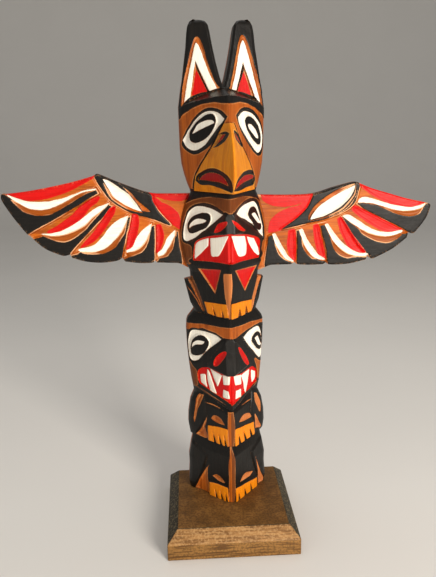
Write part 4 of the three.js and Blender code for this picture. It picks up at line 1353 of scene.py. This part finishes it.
# %% Feathers, each edge from the root to the tip
FEATHERS = {
    -1: [
        {"red": outline([(86, 248.1), (92.4, 245), (100, 241), (110.1, 237.6), (118.4, 235.6), (129, 235.2),
                         (141.1, 239)], [(141, 243), (113, 246), (87, 252)]),
         "up": [(84.2, 241.1), (91.9, 240), (99.5, 237.3), (108.7, 234.6), (118.6, 233.3), (129.1, 234),
                (141.4, 238.6)],
         "low": [(84.2, 240.3), (92.8, 238.8), (99.6, 235.6), (106.4, 232.1), (113.2, 229.3), (119, 228.1),
                 (125.5, 228.5), (131, 230.7), (136.3, 234.2)],
         "brown": [(91, 237.6), (99.8, 232.7), (107.5, 228.3), (115.2, 224.8), (122.6, 224.4), (128.2, 225.6),
                   (132.9, 228.3), (139.1, 235.1)],
         "black": [(83.2, 239.3), (82.5, 237.7), (88.1, 234.9), (100.2, 227.7), (113.9, 220.5),
                   (128.6, 213), (131.4, 210), (139.6, 219.6), (148, 234), (147, 240), (141.6, 238.4)]},
        {"red": outline([(117, 213.4), (110.1, 217), (100.5, 223.5), (93.4, 230), (83.1, 235.4)],
                        [(84.5, 232.3), (89.3, 229.1), (93.9, 223.3), (100.8, 218.4), (110.3, 213.6)]),
         "up": [(75.6, 231.4), (85.2, 228.1), (92.2, 223.2), (99.2, 218.4), (107.8, 214), (114.6, 212.5),
                (121.4, 212.1)],
         "low": [(80.3, 227.1), (87.3, 222.2), (92.6, 217.3), (99.5, 213.7), (108, 211), (114.7, 210.8),
                 (120.4, 211.4)],
         "brown": [(85.6, 221.3), (93.7, 213.1), (100.8, 208.2), (106.7, 206.2), (112.5, 207.1),
                   (120.5, 210.6)],
         "black": [(75.9, 229.9), (73, 229), (77, 225.3), (89.5, 212.9), (98.6, 203.8), (103.4, 198.6),
                   (104.4, 194.6), (112, 195), (129.4, 208.4), (126.4, 209.4), (121.3, 210.6)]},
        {"red": outline([(95.7, 202.8), (91.6, 207), (86.2, 212.8), (80.7, 220.3), (75.2, 227.4),
                         (72.7, 228.3)], [(73.7, 224.3), (76.5, 220.2), (79.3, 216), (84.7, 209.3),
                                          (90.1, 205.2)]),
         "up": [(64, 222.4), (70.6, 220), (76.8, 215.1), (81.4, 209.2), (86.7, 204.2), (92, 202.2),
                (98, 201.2)],
         "low": [(64.7, 219.8), (68.4, 213), (73, 207.2), (78.4, 202.1), (83.6, 199.7), (90.5, 198.7),
                 (97.2, 199.4)],
         "brown": [(66.7, 210.6), (68.7, 207.9), (73.3, 202), (80.4, 197.9), (87.2, 197.1), (93.9, 197.7)],
         "black": [(65.1, 220.7), (62.2, 222.4), (63.1, 218), (66.7, 205.2), (69.3, 194.4), (70.6, 189.6),
                   (84, 188.4), (105, 193.4), (103, 197), (99, 197.9)]},
        {"red": outline([(60.7, 222.9), (58.2, 222.2), (57.6, 217.8), (59.2, 210.1), (62.1, 203.3)],
                        [(65.8, 199.7), (64.4, 208.6), (62.4, 215.4)]),
         "up": [(48.6, 216.8), (53.9, 213.4), (58.5, 208.4), (62.2, 201.5), (66.2, 199.1)],
         "low": [(49.7, 211.5), (52.6, 205.5), (56.2, 201.3), (60.6, 198.8), (66.3, 197.3)],
         "brown": [(49.8, 209.8), (51.8, 202.9), (55.5, 197.8), (59.9, 195.7), (66, 194.7)],
         "black": [(48.7, 215), (46.5, 215.4), (46.6, 204.5), (47.4, 192.4), (48.4, 187.4), (67.6, 188.6),
                   (68.6, 193), (64.4, 194.8)]},
        {"red": outline([(44.9, 215.4), (42.7, 214.8), (41.3, 207.8), (43.3, 200.8)], [(45.7, 197.2),
                        (45.4, 206)]),
         "up": [(32.8, 211.9), (36, 209.3), (38.8, 205.9), (41.6, 199.9), (45.2, 196.5)],
         "low": [(33.5, 207.5), (37.2, 200.6), (40.9, 195.4), (44.9, 193.8)],
         "brown": [(33.4, 204), (35.1, 198.7), (38.3, 194.4), (41.9, 193), (44.5, 192.9)],
         "black": [(32.6, 207.4), (32.1, 210.9), (30.8, 210.9), (30.2, 202.1), (28.4, 189.6), (29, 186.4),
                   (46, 187), (46.6, 190.4), (44.5, 192.5)]},
    ],
    1: [
        {"red": outline([(97.3, 238), (101.6, 234.9), (107.3, 231.2), (114, 227.9), (123.5, 224.5),
                         (131.1, 222.9), (140.5, 224)], [(144, 225)], [(144, 229)], [(119, 236), (98, 243)]),
         "up": [(95.5, 226.8), (96.5, 229.4), (99.9, 230.5), (105.5, 229.3), (114, 226.6), (123.5, 224),
                (133, 222.4), (140.5, 223.5), (145.4, 224.8)],
         "low": [(98.2, 226.6), (105.7, 225.9), (114.2, 223.4), (122.7, 220.9), (131.3, 219.8),
                 (137.9, 220.5), (143.5, 222.1)],
         "brown": [(110, 224.4), (114.2, 222.1), (121, 219.2), (128.6, 216.7), (135.3, 216), (140.9, 217.7),
                   (143.5, 221.2)],
         "black": [(94.4, 225.9), (100.3, 221.6), (109.8, 216.8), (119.4, 212), (129.1, 207.1),
                   (134.6, 203.8), (137, 201), (142, 204), (148, 213), (152.5, 221.5), (152, 226),
                   (145.3, 224.4)]},
        {"red": outline([(91.5, 222.3), (93.7, 224), (100.3, 220.7), (109.9, 215.9), (119.5, 211.1)],
                        [(128.2, 206.4), (123.5, 205.6), (117.9, 205.7), (110.2, 208.7), (102.5, 213.5),
                         (95.8, 218.2)]),
         "up": [(84.6, 217.6), (87.4, 218.4), (91.2, 217.4), (96.9, 213.7), (104.5, 208.9), (112.2, 205.9),
                (119.8, 205.2), (128.4, 206.3)],
         "low": [(88.5, 214.8), (95.1, 210.1), (102.8, 205.8), (110.4, 203.2), (118, 202.2), (124.6, 203.2),
                 (129.5, 204.9)],
         "brown": [(97, 207.4), (99.1, 204.5), (105.8, 200.7), (112.5, 198.1), (118.3, 197.4),
                   (123.9, 199.1), (128.4, 202.6)],
         "black": [(83.7, 216.9), (89.7, 206.7), (96.6, 196.4), (104.6, 188.8), (107, 185), (112, 184.6),
                   (127, 191.6), (137, 201.6), (134.4, 204.2), (129.3, 203.8)]},
        {"red": outline([(81.5, 215.6), (83.8, 215.9), (88.7, 208.5), (94.6, 200.2)], [(101.7, 191.4),
                        (95.8, 191.9), (90, 195.8), (86.1, 202.3), (83.1, 208.7)]),
         "up": [(71.9, 212.2), (74.3, 212.2), (78.6, 206.2), (84.3, 199.6), (90.1, 194.8), (96.8, 191.4),
                (103.6, 190.4)],
         "low": [(74.9, 206.3), (78.7, 199.8), (84.5, 194.1), (91.2, 190.2), (97.8, 188.6), (104.6, 188.8)],
         "brown": [(76.7, 200.7), (78.9, 194.4), (82.7, 190.1), (88.4, 187.5), (94.1, 187.9)],
         "black": [(68.3, 211.7), (70.3, 203.8), (73, 194.6), (74, 186), (75.6, 181), (98, 181.2),
                   (106, 184.5), (104.6, 187.8), (97.8, 188.1)]},
        {"red": outline([(64.1, 211.4), (66.9, 211.7), (68.4, 205.6), (70.4, 198.3)], [(72.6, 188),
                        (68.7, 191.1), (66.3, 196.7), (64.8, 204)]),
         "up": [(53.6, 208.9), (56, 209.3), (58.8, 203.3), (63.1, 196.8), (67.8, 191.1), (72.6, 187.6)],
         "low": [(55.6, 203.4), (58.9, 196), (63.2, 190.4), (67.9, 187.5), (72.3, 186.8)],
         "brown": [(55.5, 200.7), (56.6, 196.1), (59.5, 191.5), (63.2, 188.1), (66, 187.6)],
         "black": [(51.4, 208.7), (52, 200.8), (51.8, 191.7), (51.6, 187), (53.4, 181.8), (74.4, 181.6),
                   (73.6, 185.9), (67.9, 187)]},
        {"red": outline([(46.4, 208.3), (50.1, 208.6)], [(50.9, 199.1), (50.4, 188)], [(47.5, 191),
                        (45.6, 197.4), (46, 203.7)]),
         "up": [(34.6, 206.5), (36.5, 206.9), (39.2, 202.2), (42.9, 195.7), (46.6, 190.1), (50, 187.3)],
         "low": [(36.5, 200.5), (40.2, 194), (44.8, 188.4), (49.6, 186.4)],
         "brown": [(36.4, 198.7), (38.4, 193.2), (42.1, 189), (45.7, 187)],
         "black": [(31.4, 205.3), (30.2, 197.1), (28.8, 187.2), (28.8, 183), (50.4, 183), (50.4, 185.9),
                   (48.5, 186)]},
    ],
}


def feather_loops(feather):
    """The painted areas of a feather: white vane, bevel in painted brown shade, black underside, red above.
    """
    back_along_vane = feather["low"][::-1]
    return {
        "black": polygon(*feather["black"], *back_along_vane, feather["up"][0]),
        "brown": outline(feather["brown"], back_along_vane),
        "white": outline(feather["up"], back_along_vane),
        "red": feather["red"],
    }


WING_LOOPS = {side: [feather_loops(feather) for feather in FEATHERS[side]] for side in FEATHERS}

# %% Paint and carving of a wing
VANE_DEPTH = 1.1
BEVEL_DEPTH = 0.9
RED_DEPTH = 0.5
LENS_DEPTH = 1.2
LINE_DEPTH = 0.5
FEATHER_SCORE = 0.9
SHOULDER_SCORE = 0.7
SCORE_OUT = 0.4
SCORE_WIDE = 0.9


def wing_strokes(side):
    """All the paint of one wing. Red spreads a little past its outline, and black stops short of it."""
    strokes = [("red", loop, 0.7) for loop in ROOT_RED[side]] + [("black", SHOULDER[side])]
    strokes += [("bare", loop) for loop in WING_LINES[side]]
    strokes.append(("white", LENS[side]))
    # On the bevels, brown paints their shade.
    for paint, growth in (("black", -0.25), ("red", 0.85), ("brown", 0), ("white", 0)):
        strokes += [(paint, loops[paint], growth) for loops in WING_LOOPS[side]]
    return strokes


def scored(u, z, loop, depth):
    """A V-shaped knife line that runs just outside an outline, in mm."""
    return depth * np.clip(1 - np.abs(inside(u, z, loop) + SCORE_OUT) / SCORE_WIDE, 0, 1)


def wing_hollow(u, z, side):
    """How deep the wing's front is carved at each point, in mm."""
    total = np.zeros(u.shape)
    for loops in WING_LOOPS[side]:
        total += carve(u, z, loops["white"], VANE_DEPTH, -0.3, 1.7)
        total += carve(u, z, loops["brown"], BEVEL_DEPTH, -0.4, 1.4)
        total += carve(u, z, loops["red"], RED_DEPTH, -0.2, 1.4)
        total += scored(u, z, loops["black"], FEATHER_SCORE)
    total += carve(u, z, LENS[side], LENS_DEPTH, -0.2, 1.8)
    total += scored(u, z, SHOULDER[side], SHOULDER_SCORE)
    for loop in WING_LINES[side]:
        total += carve(u, z, loop, LINE_DEPTH, -0.3, 0.4)
    return total

# %% From an outline to a carved board
LATTICE = 0.55
ROW_STEP = LATTICE * 0.866
WING_BACK = WING_FRONT + WING_THICK
WING_RIM = 0.6
WING_MARKS = 0.15
RIM_STEPS = 4
BACK_SKIN = 0.9


def evenly(loop, spacing):
    """Points along a closed loop at an even spacing."""
    closed = np.vstack([loop, loop[:1]])
    run = np.concatenate([[0], np.cumsum(np.linalg.norm(np.diff(closed, axis=0), axis=1))])
    at = np.linspace(0, run[-1], int(run[-1] / spacing), endpoint=False)
    return np.stack([np.interp(at, run, closed[:, 0]), np.interp(at, run, closed[:, 1])], axis=1)


def board_front(name, side):
    """The carved front of a wing as an open sheet in the pole's frame."""
    loop = evenly(WING_OUTLINE[side], LATTICE)
    low, high = loop.min(axis=0), loop.max(axis=0)
    across = np.arange(low[0], high[0], LATTICE)
    up = np.arange(low[1], high[1], ROW_STEP)
    grid_u, grid_z = np.meshgrid(across, up)
    grid_u = grid_u + (np.arange(len(up)) % 2)[:, None] * LATTICE / 2
    lattice = np.stack([grid_u.ravel(), grid_z.ravel()], axis=1)
    lattice = lattice[inside(lattice[:, 0], lattice[:, 1], WING_OUTLINE[side]) > 0.6 * LATTICE]
    points = np.vstack([loop, lattice])
    rim = list(range(len(loop)))
    found = delaunay_2d_cdt([Vector(point) for point in points], [], [rim], 1, 1e-5)
    flat = np.array([list(point) for point in found[0]])
    u, z = flat[:, 0], flat[:, 1]
    depth = wing_hollow(u, z, side)
    depth += WING_RIM * (1 - ease(inside(u, z, WING_OUTLINE[side]), 0, 1.1))
    depth += WING_MARKS * wander(u, z, 9, 7 + side)
    places = np.stack([side * u, WING_FRONT + np.maximum(depth, 0), z], axis=1)
    mesh = bpy.data.meshes.new(name)
    mesh.from_pydata(places.tolist(), [], found[2])
    board = bpy.data.objects.new(name, mesh)
    bpy.context.scene.collection.objects.link(board)
    return board


def give_thickness(board, depth, steps):
    """Extrudes the rim of an open sheet backwards to a flat back, and closes it."""
    pick(board)
    bpy.ops.object.mode_set(mode="EDIT")
    bpy.ops.mesh.select_mode(type="EDGE")
    bpy.ops.mesh.select_all(action="DESELECT")
    bpy.ops.mesh.select_non_manifold()
    for _ in range(steps):
        bpy.ops.mesh.extrude_region_move(TRANSFORM_OT_translate={"value": (0, depth / steps, 0)})
    bpy.ops.transform.resize(value=(1, 0, 1), center_override=(0, WING_BACK, 0))
    bpy.ops.object.mode_set(mode="OBJECT")
    close_up(board, 0.01)


wings = {}
for side, name in ((-1, "wing_left"), (1, "wing_right")):
    board = board_front(name + "_carved", side)
    give_thickness(board, WING_THICK - 1, RIM_STEPS)
    dress(board, wing_strokes, lambda places: places[:, 1] > WING_BACK - BACK_SKIN)
    finish_piece(board, name)
    wings[name] = board
    print(name, "faces:", len(board.data.polygons))

# %% [markdown]
# ## The base
#
# The base is a square sawn from a board, with its top edges planed off a little steeper than 45
# degrees. It starts as a cube and the top edges are bevelled. All edges then get a tiny rounding, as
# sandpaper leaves. Each face stores which side it is on, so that light and shade can be painted into each:
# the front faces lit, the top darker, the other bevels in shade.

# %% Base block
BASE_WIDE = 89
BASE_TALL = 19
CHAMFER_WIDE = 7
CHAMFER_HIGH = 7.5
SANDED = 0.7

deselect()
bpy.ops.mesh.primitive_cube_add(size=1)
base = bpy.context.object
base.name = "base_block"
put(base, (places_of(base) + (0, 0, 0.5)) * (BASE_WIDE, BASE_WIDE, BASE_TALL) * MM)
pick_edges(base, lambda place: place.z > 0.5 * BASE_TALL * MM)
bpy.ops.mesh.bevel(offset=CHAMFER_WIDE * MM, segments=1, affect="EDGES")
bpy.ops.object.mode_set(mode="OBJECT")
for vertex in base.data.vertices:
    if 0.2 * BASE_TALL * MM < vertex.co.z < 0.9 * BASE_TALL * MM:
        vertex.co.z = (BASE_TALL - CHAMFER_HIGH) * MM
rounding = base.modifiers.new("rounding", "BEVEL")
rounding.width = SANDED * MM
rounding.segments = 3
rounding.limit_method = "ANGLE"
pick(base)
bpy.ops.object.modifier_apply(modifier=rounding.name)
bpy.ops.object.shade_smooth_by_angle(angle=math.radians(30))
# Face marks for the material, which paints light on the front faces and shade on the other bevels.
sides = {"front_cut": [], "other_cut": [], "front_face": []}
for face in base.data.polygons:
    sloping = 0.3 < face.normal.z < 0.95
    sides["front_cut"].append(float(sloping and face.normal.y < -0.4))
    sides["other_cut"].append(float(sloping and face.normal.y >= -0.4))
    sides["front_face"].append(float(face.normal.y < -0.9))
for name, values in sides.items():
    base.data.attributes.new(name, "FLOAT", "FACE").data.foreach_set("value", values)
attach(base, "root")
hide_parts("base")
print("base faces:", len(base.data.polygons))

# %% [markdown]
# ## Materials
#
# Stained softwood shows its growth rings as broad soft figure and its fibres as fine streaks, both
# running up the pole. The paint lies over it in thin coats with slightly ragged edges. Each effect that
# several materials share is one node group, so that it is tuned in a single place.

# %% Small helpers for node trees


def srgb(red, green, blue):
    """A colour as seen on a screen, 0 to 255 a channel, in the linear values that nodes work with."""
    return tuple(((c / 255 + 0.055) / 1.055) ** 2.4 if c > 10 else c / 255 / 12.92
                 for c in (red, green, blue)) + (1.0,)


def add(tree, kind, inputs=None, **settings):
    """A node of a kind, with its settings and its unlinked or linked inputs by name or number."""
    node = tree.nodes.new(kind)
    for key, value in settings.items():
        setattr(node, key, value)
    for key, value in (inputs or {}).items():
        feed(tree, value, node.inputs[key])
    return node


def feed(tree, value, socket):
    """Links a socket, or sets a plain value."""
    if isinstance(value, bpy.types.NodeSocket):
        tree.links.new(value, socket)
    else:
        socket.default_value = value


def maths(tree, operation, first, second=0.0, third=0.0):
    """One piece of arithmetic on up to three numbers."""
    return add(tree, "ShaderNodeMath", {0: first, 1: second, 2: third}, operation=operation).outputs[0]


def spread(tree, value, low, high, to_low=0.0, to_high=1.0):
    """Maps a range of values softly to another."""
    return add(tree, "ShaderNodeMapRange", {0: value, 1: low, 2: high, 3: to_low, 4: to_high},
               interpolation_type="SMOOTHSTEP").outputs[0]


def blend(tree, share, first, second):
    """A mix of two colours."""
    node = add(tree, "ShaderNodeMix", data_type="RGBA")
    feed(tree, share, node.inputs[0])
    feed(tree, first, node.inputs[6])
    feed(tree, second, node.inputs[7])
    return node.outputs[2]


def mottle(tree, vector, scale, detail, roughness=0.5):
    """Soft noise with about so many features a metre."""
    inputs = {"Vector": vector, "Scale": scale, "Detail": detail, "Roughness": roughness}
    return add(tree, "ShaderNodeTexNoise", inputs).outputs[0]


def mapped(tree, vector, **inputs):
    """A vector that is turned or scaled."""
    return add(tree, "ShaderNodeMapping", {"Vector": vector, **inputs}).outputs[0]


def streaks(tree, vector, wide, long, detail):
    """Noise drawn out along Z: streaks of a width and a length in metres."""
    return mottle(tree, mapped(tree, vector, Scale=(1 / wide, 1 / wide, 1 / long)), 1.0, detail, 0.6)


def new_group(name, inputs, outputs):
    """An empty node group with its sockets, and its two ends."""
    group = bpy.data.node_groups.new(name, "ShaderNodeTree")
    for label, kind in inputs:
        group.interface.new_socket(name=label, in_out="INPUT", socket_type=kind)
    for label, kind in outputs:
        group.interface.new_socket(name=label, in_out="OUTPUT", socket_type=kind)
    return group, group.nodes.new("NodeGroupInput"), group.nodes.new("NodeGroupOutput")


print("middle grey:", round(srgb(128, 128, 128)[0], 3))

# %% Wood grain
grain, grain_in, grain_out = new_group(
    "wood grain", [("Vector", "NodeSocketVector")],
    [("Figure", "NodeSocketFloat"), ("Fibre", "NodeSocketFloat"), ("Pores", "NodeSocketFloat")])
rings_noise = streaks(grain, grain_in.outputs["Vector"], 0.009, 0.12, 2.0)
folded = maths(grain, "PINGPONG", maths(grain, "MULTIPLY", rings_noise, 7.0), 1.0)
feed(grain, spread(grain, folded, 0.0, 1.0), grain_out.inputs["Figure"])
feed(grain, streaks(grain, grain_in.outputs["Vector"], 0.0011, 0.03, 3.0), grain_out.inputs["Fibre"])
pore_noise = streaks(grain, grain_in.outputs["Vector"], 0.0006, 0.009, 1.0)
feed(grain, spread(grain, pore_noise, 0.62, 0.75), grain_out.inputs["Pores"])
print("group:", grain.name)

# %% Paint edge, and painted light and shade from the relief
EDGE_RAGGED = 0.5
paint_edge, edge_in, edge_out = new_group(
    "paint edge", [("Field", "NodeSocketFloat"), ("Vector", "NodeSocketVector")],
    [("Mask", "NodeSocketFloat")])
ragged = mottle(paint_edge, edge_in.outputs["Vector"], 900.0, 2.0)
shift = maths(paint_edge, "MULTIPLY_ADD", ragged, EDGE_RAGGED, -0.5 * EDGE_RAGGED)
field = maths(paint_edge, "ADD", edge_in.outputs["Field"], shift)
feed(paint_edge, spread(paint_edge, field, -0.12, 0.16), edge_out.inputs["Mask"])

# Proud edges get a painted highlight in patches, which also places real wear chips; cuts get painted shade.
edge_light_and_wear, edge_light_in, edge_light_out = new_group(
    "edge light and wear", [("Relief", "NodeSocketFloat"), ("Vector", "NodeSocketVector")],
    [("Highlight and wear", "NodeSocketFloat"), ("Painted shade", "NodeSocketFloat")])
patches = mottle(edge_light_and_wear, edge_light_in.outputs["Vector"], 160.0, 3.0)
proud = spread(edge_light_and_wear, edge_light_in.outputs["Relief"], 0.05, 0.3)
feed(edge_light_and_wear, maths(edge_light_and_wear, "MULTIPLY", proud, spread(edge_light_and_wear, patches, 0.35, 0.62)), edge_light_out.inputs["Highlight and wear"])
feed(edge_light_and_wear, spread(edge_light_and_wear, edge_light_in.outputs["Relief"], -0.04, -0.3), edge_light_out.inputs["Painted shade"])
print("groups:", paint_edge.name, "and", edge_light_and_wear.name)

# %% Stained and painted wood
PAINT_THICK = 0.00012
FIBRE_HIGH = 0.00012
LUMP_HIGH = 0.00018


def group_node(tree, group, inputs):
    """A shared effect placed in a tree."""
    node = tree.nodes.new("ShaderNodeGroup")
    node.node_tree = group
    for key, value in inputs.items():
        feed(tree, value, node.inputs[key])
    return node


def attribute(tree, name):
    """A number kept on the mesh."""
    return add(tree, "ShaderNodeAttribute", attribute_name=name).outputs["Fac"]


def new_wood(name, grain_turn):
    """A new material: it, its tree, the place on the object, and the grain turned about Y in degrees."""
    made = bpy.data.materials.new(name)
    made.use_nodes = True
    tree = made.node_tree
    place = add(tree, "ShaderNodeTexCoord").outputs["Object"]
    turned = mapped(tree, place, Rotation=(0, math.radians(grain_turn), 0))
    return made, tree, place, group_node(tree, grain, {"Vector": turned})


def finish_wood(tree, tone, rough, specular, height, strength):
    """Ties colour, roughness and a bump of heights in metres to the material's shader."""
    shader = tree.nodes["Principled BSDF"]
    feed(tree, tone, shader.inputs["Base Color"])
    feed(tree, rough, shader.inputs["Roughness"])
    shader.inputs["Specular IOR Level"].default_value = specular
    bump = add(tree, "ShaderNodeBump", {"Height": height, "Strength": strength, "Distance": 1.0})
    feed(tree, bump.outputs[0], shader.inputs["Normal"])


def painted_wood(name, dark, middle, pale, highlight_and_wear, coats, gloss, edge_line, grain_turn):
    """Stained wood in three tones under coats of paint, with painted highlights and shade from the relief.

    Each coat is (paint, colour, colour where thin, roughness). Just outside the black, the wood shows a
    pale line, as strong as edge_line says: the wood that the knife scored along the outline, lightened
    further as a painted highlight on that cut edge.
    """
    made, tree, place, wood = new_wood(name, grain_turn)
    figure, fibre, pores = (wood.outputs[part] for part in ("Figure", "Fibre", "Pores"))
    edge_light = group_node(tree, edge_light_and_wear, {"Relief": attribute(tree, "relief"), "Vector": place})
    cloud = mottle(tree, place, 55.0, 2.0)
    tone = blend(tree, figure, middle, dark)
    tone = blend(tree, spread(tree, fibre, 0.42, 0.7, 0.0, 0.6), tone, pale)
    tone = blend(tree, spread(tree, cloud, 0.35, 0.7, 0.0, 0.5), tone, middle)
    tone = blend(tree, maths(tree, "MULTIPLY", pores, 0.35), tone, dark)
    # Painted shade darkens the cuts, and a painted highlight lightens the proud edges.
    tone = blend(tree, maths(tree, "MULTIPLY", edge_light.outputs["Painted shade"], 0.65), tone, dark)
    tone = blend(tree, maths(tree, "MULTIPLY", edge_light.outputs["Highlight and wear"], 0.8), tone, highlight_and_wear)
    rough = maths(tree, "MULTIPLY_ADD", fibre, 0.25, gloss)
    thick = 0.0
    # The pale line outside the black: knife-cut wood with a painted highlight on its edge.
    blade = maths(tree, "MULTIPLY", spread(tree, attribute(tree, "black"), -0.8, -0.3),
                  spread(tree, cloud, 0.38, 0.56))
    for paint, colour, thin, paint_rough in coats:
        edge = group_node(tree, paint_edge, {"Field": attribute(tree, paint), "Vector": place})
        mask = edge.outputs["Mask"]
        if paint == "black":
            tone = blend(tree, maths(tree, "MULTIPLY", blade, edge_line), tone, highlight_and_wear)
        brushed = blend(tree, spread(tree, fibre, 0.35, 0.75, 0.0, 0.55), colour, thin)
        tone = blend(tree, mask, tone, brushed)
        rough = add(tree, "ShaderNodeMix", {0: mask, 2: rough, 3: paint_rough}, data_type="FLOAT").outputs[0]
        thick = maths(tree, "ADD", thick, mask)
    # A few real chips of wear through the paint on proud edges.
    specks = mottle(tree, place, 1100.0, 2.0)
    chips = maths(tree, "MULTIPLY", edge_light.outputs["Highlight and wear"], spread(tree, specks, 0.5, 0.62, 0.0, 0.3))
    tone = blend(tree, chips, tone, highlight_and_wear)
    coated = maths(tree, "MULTIPLY_ADD", fibre, FIBRE_HIGH, maths(tree, "MULTIPLY", thick, PAINT_THICK))
    lumps = maths(tree, "MULTIPLY", mottle(tree, place, 420.0, 2.0), LUMP_HIGH)
    finish_wood(tree, tone, rough, 0.22, maths(tree, "ADD", coated, lumps), 0.55)
    return made

# %% Colours of the paints and the woods
BLACK = ("black", srgb(13, 11, 9), srgb(30, 24, 18), 0.42)
WHITE = ("white", srgb(244, 240, 228), srgb(224, 212, 190), 0.5)
RED = ("red", srgb(204, 6, 2), srgb(166, 4, 2), 0.42)
# A darker red for the beak's mouths and nostrils, with the shade of those hollows painted into it.
SHADED_RED = ("red", srgb(166, 12, 6), srgb(122, 6, 4), 0.42)
YELLOW = ("yellow", srgb(228, 134, 10), srgb(206, 100, 4), 0.45)
TAN = ("tan", srgb(194, 116, 62), srgb(162, 84, 36), 0.5)
# The pole's brown: mostly painted shade, on the left cheeks, in the breast's claw notches and under the chin.
BROWN_AND_SHADE = ("brown", srgb(112, 58, 20), srgb(78, 38, 12), 0.4)
# The wings' brown: painted shade on the bevels under the white vanes.
BEVEL_SHADE = ("brown", srgb(156, 76, 6), srgb(120, 54, 4), 0.42)

pole_paint = painted_wood("carved pole", srgb(136, 64, 14), srgb(166, 82, 18), srgb(186, 100, 32),
                          srgb(216, 148, 86), (TAN, BROWN_AND_SHADE, BLACK, WHITE, RED, YELLOW), 0.3, 0.35, 0)
wing_paint = painted_wood("painted wings", srgb(134, 58, 4), srgb(186, 90, 6), srgb(208, 116, 18),
                          srgb(238, 182, 134), (BEVEL_SHADE, BLACK, WHITE, RED), 0.32, 0.9, 90)
beak_stain = painted_wood("yellow beak", srgb(200, 110, 10), srgb(222, 136, 14), srgb(232, 154, 32),
                          srgb(244, 190, 90), (BLACK, SHADED_RED), 0.3, 0.3, 0)
for piece, material in ((pole, pole_paint), (beak, beak_stain), (wings["wing_left"], wing_paint),
                        (wings["wing_right"], wing_paint)):
    piece.data.materials.append(material)
print("materials:", [material.name for material in bpy.data.materials])

# %% Dark base


def dark_base():
    """Dark oiled wood with its grain from left to right, and painted light and shade on each face."""
    made, tree, place, wood = new_wood("dark base", 90)
    patches = mottle(tree, place, 90.0, 6.0)
    specks = mottle(tree, place, 700.0, 3.0)
    lines = spread(tree, mottle(tree, mapped(tree, place, Scale=(60, 500, 900)), 1.0, 4.0), 0.42, 0.6)
    top = blend(tree, spread(tree, patches, 0.35, 0.65), srgb(104, 70, 28), srgb(130, 90, 42))
    top = blend(tree, spread(tree, specks, 0.42, 0.6, 0.0, 0.55), top, srgb(70, 44, 18))
    front_tone = blend(tree, lines, srgb(146, 104, 52), srgb(96, 62, 26))
    front_tone = blend(tree, spread(tree, specks, 0.46, 0.62, 0.0, 0.6), front_tone, srgb(84, 60, 28))
    cut = blend(tree, lines, srgb(164, 120, 70), srgb(118, 80, 40))
    cut = blend(tree, spread(tree, specks, 0.46, 0.62, 0.0, 0.5), cut, srgb(190, 150, 100))
    shaded_and_worn = blend(tree, spread(tree, specks, 0.5, 0.62), srgb(44, 38, 24), srgb(108, 94, 68))
    tone = top
    # Painted light and shade: front face and front bevel lighter, other bevels dark with pale specks of wear.
    for part, colour in (("front_face", front_tone), ("front_cut", cut), ("other_cut", shaded_and_worn)):
        tone = blend(tree, attribute(tree, part), tone, colour)
    tone = blend(tree, maths(tree, "MULTIPLY", wood.outputs["Pores"], 0.5), tone, srgb(44, 30, 18))
    finish_wood(tree, tone, 0.6, 0.28, maths(tree, "MULTIPLY", wood.outputs["Fibre"], 0.0003), 0.5)
    return made


base.data.materials.append(dark_base())
print("base material:", base.data.materials[0].name)

# %% Paper floor
paper = bpy.data.materials.new("paper")
paper.use_nodes = True
paper_tree = paper.node_tree
paper_shader = paper_tree.nodes["Principled BSDF"]
clouds = add(paper_tree, "ShaderNodeTexNoise", {"Scale": 30.0, "Detail": 3.0}).outputs[0]
paper_tone = blend(paper_tree, clouds, srgb(226, 224, 220), srgb(232, 230, 226))
feed(paper_tree, paper_tone, paper_shader.inputs["Base Color"])
paper_shader.inputs["Roughness"].default_value = 0.9
floor.data.materials.append(paper)
print("floor material:", paper.name)
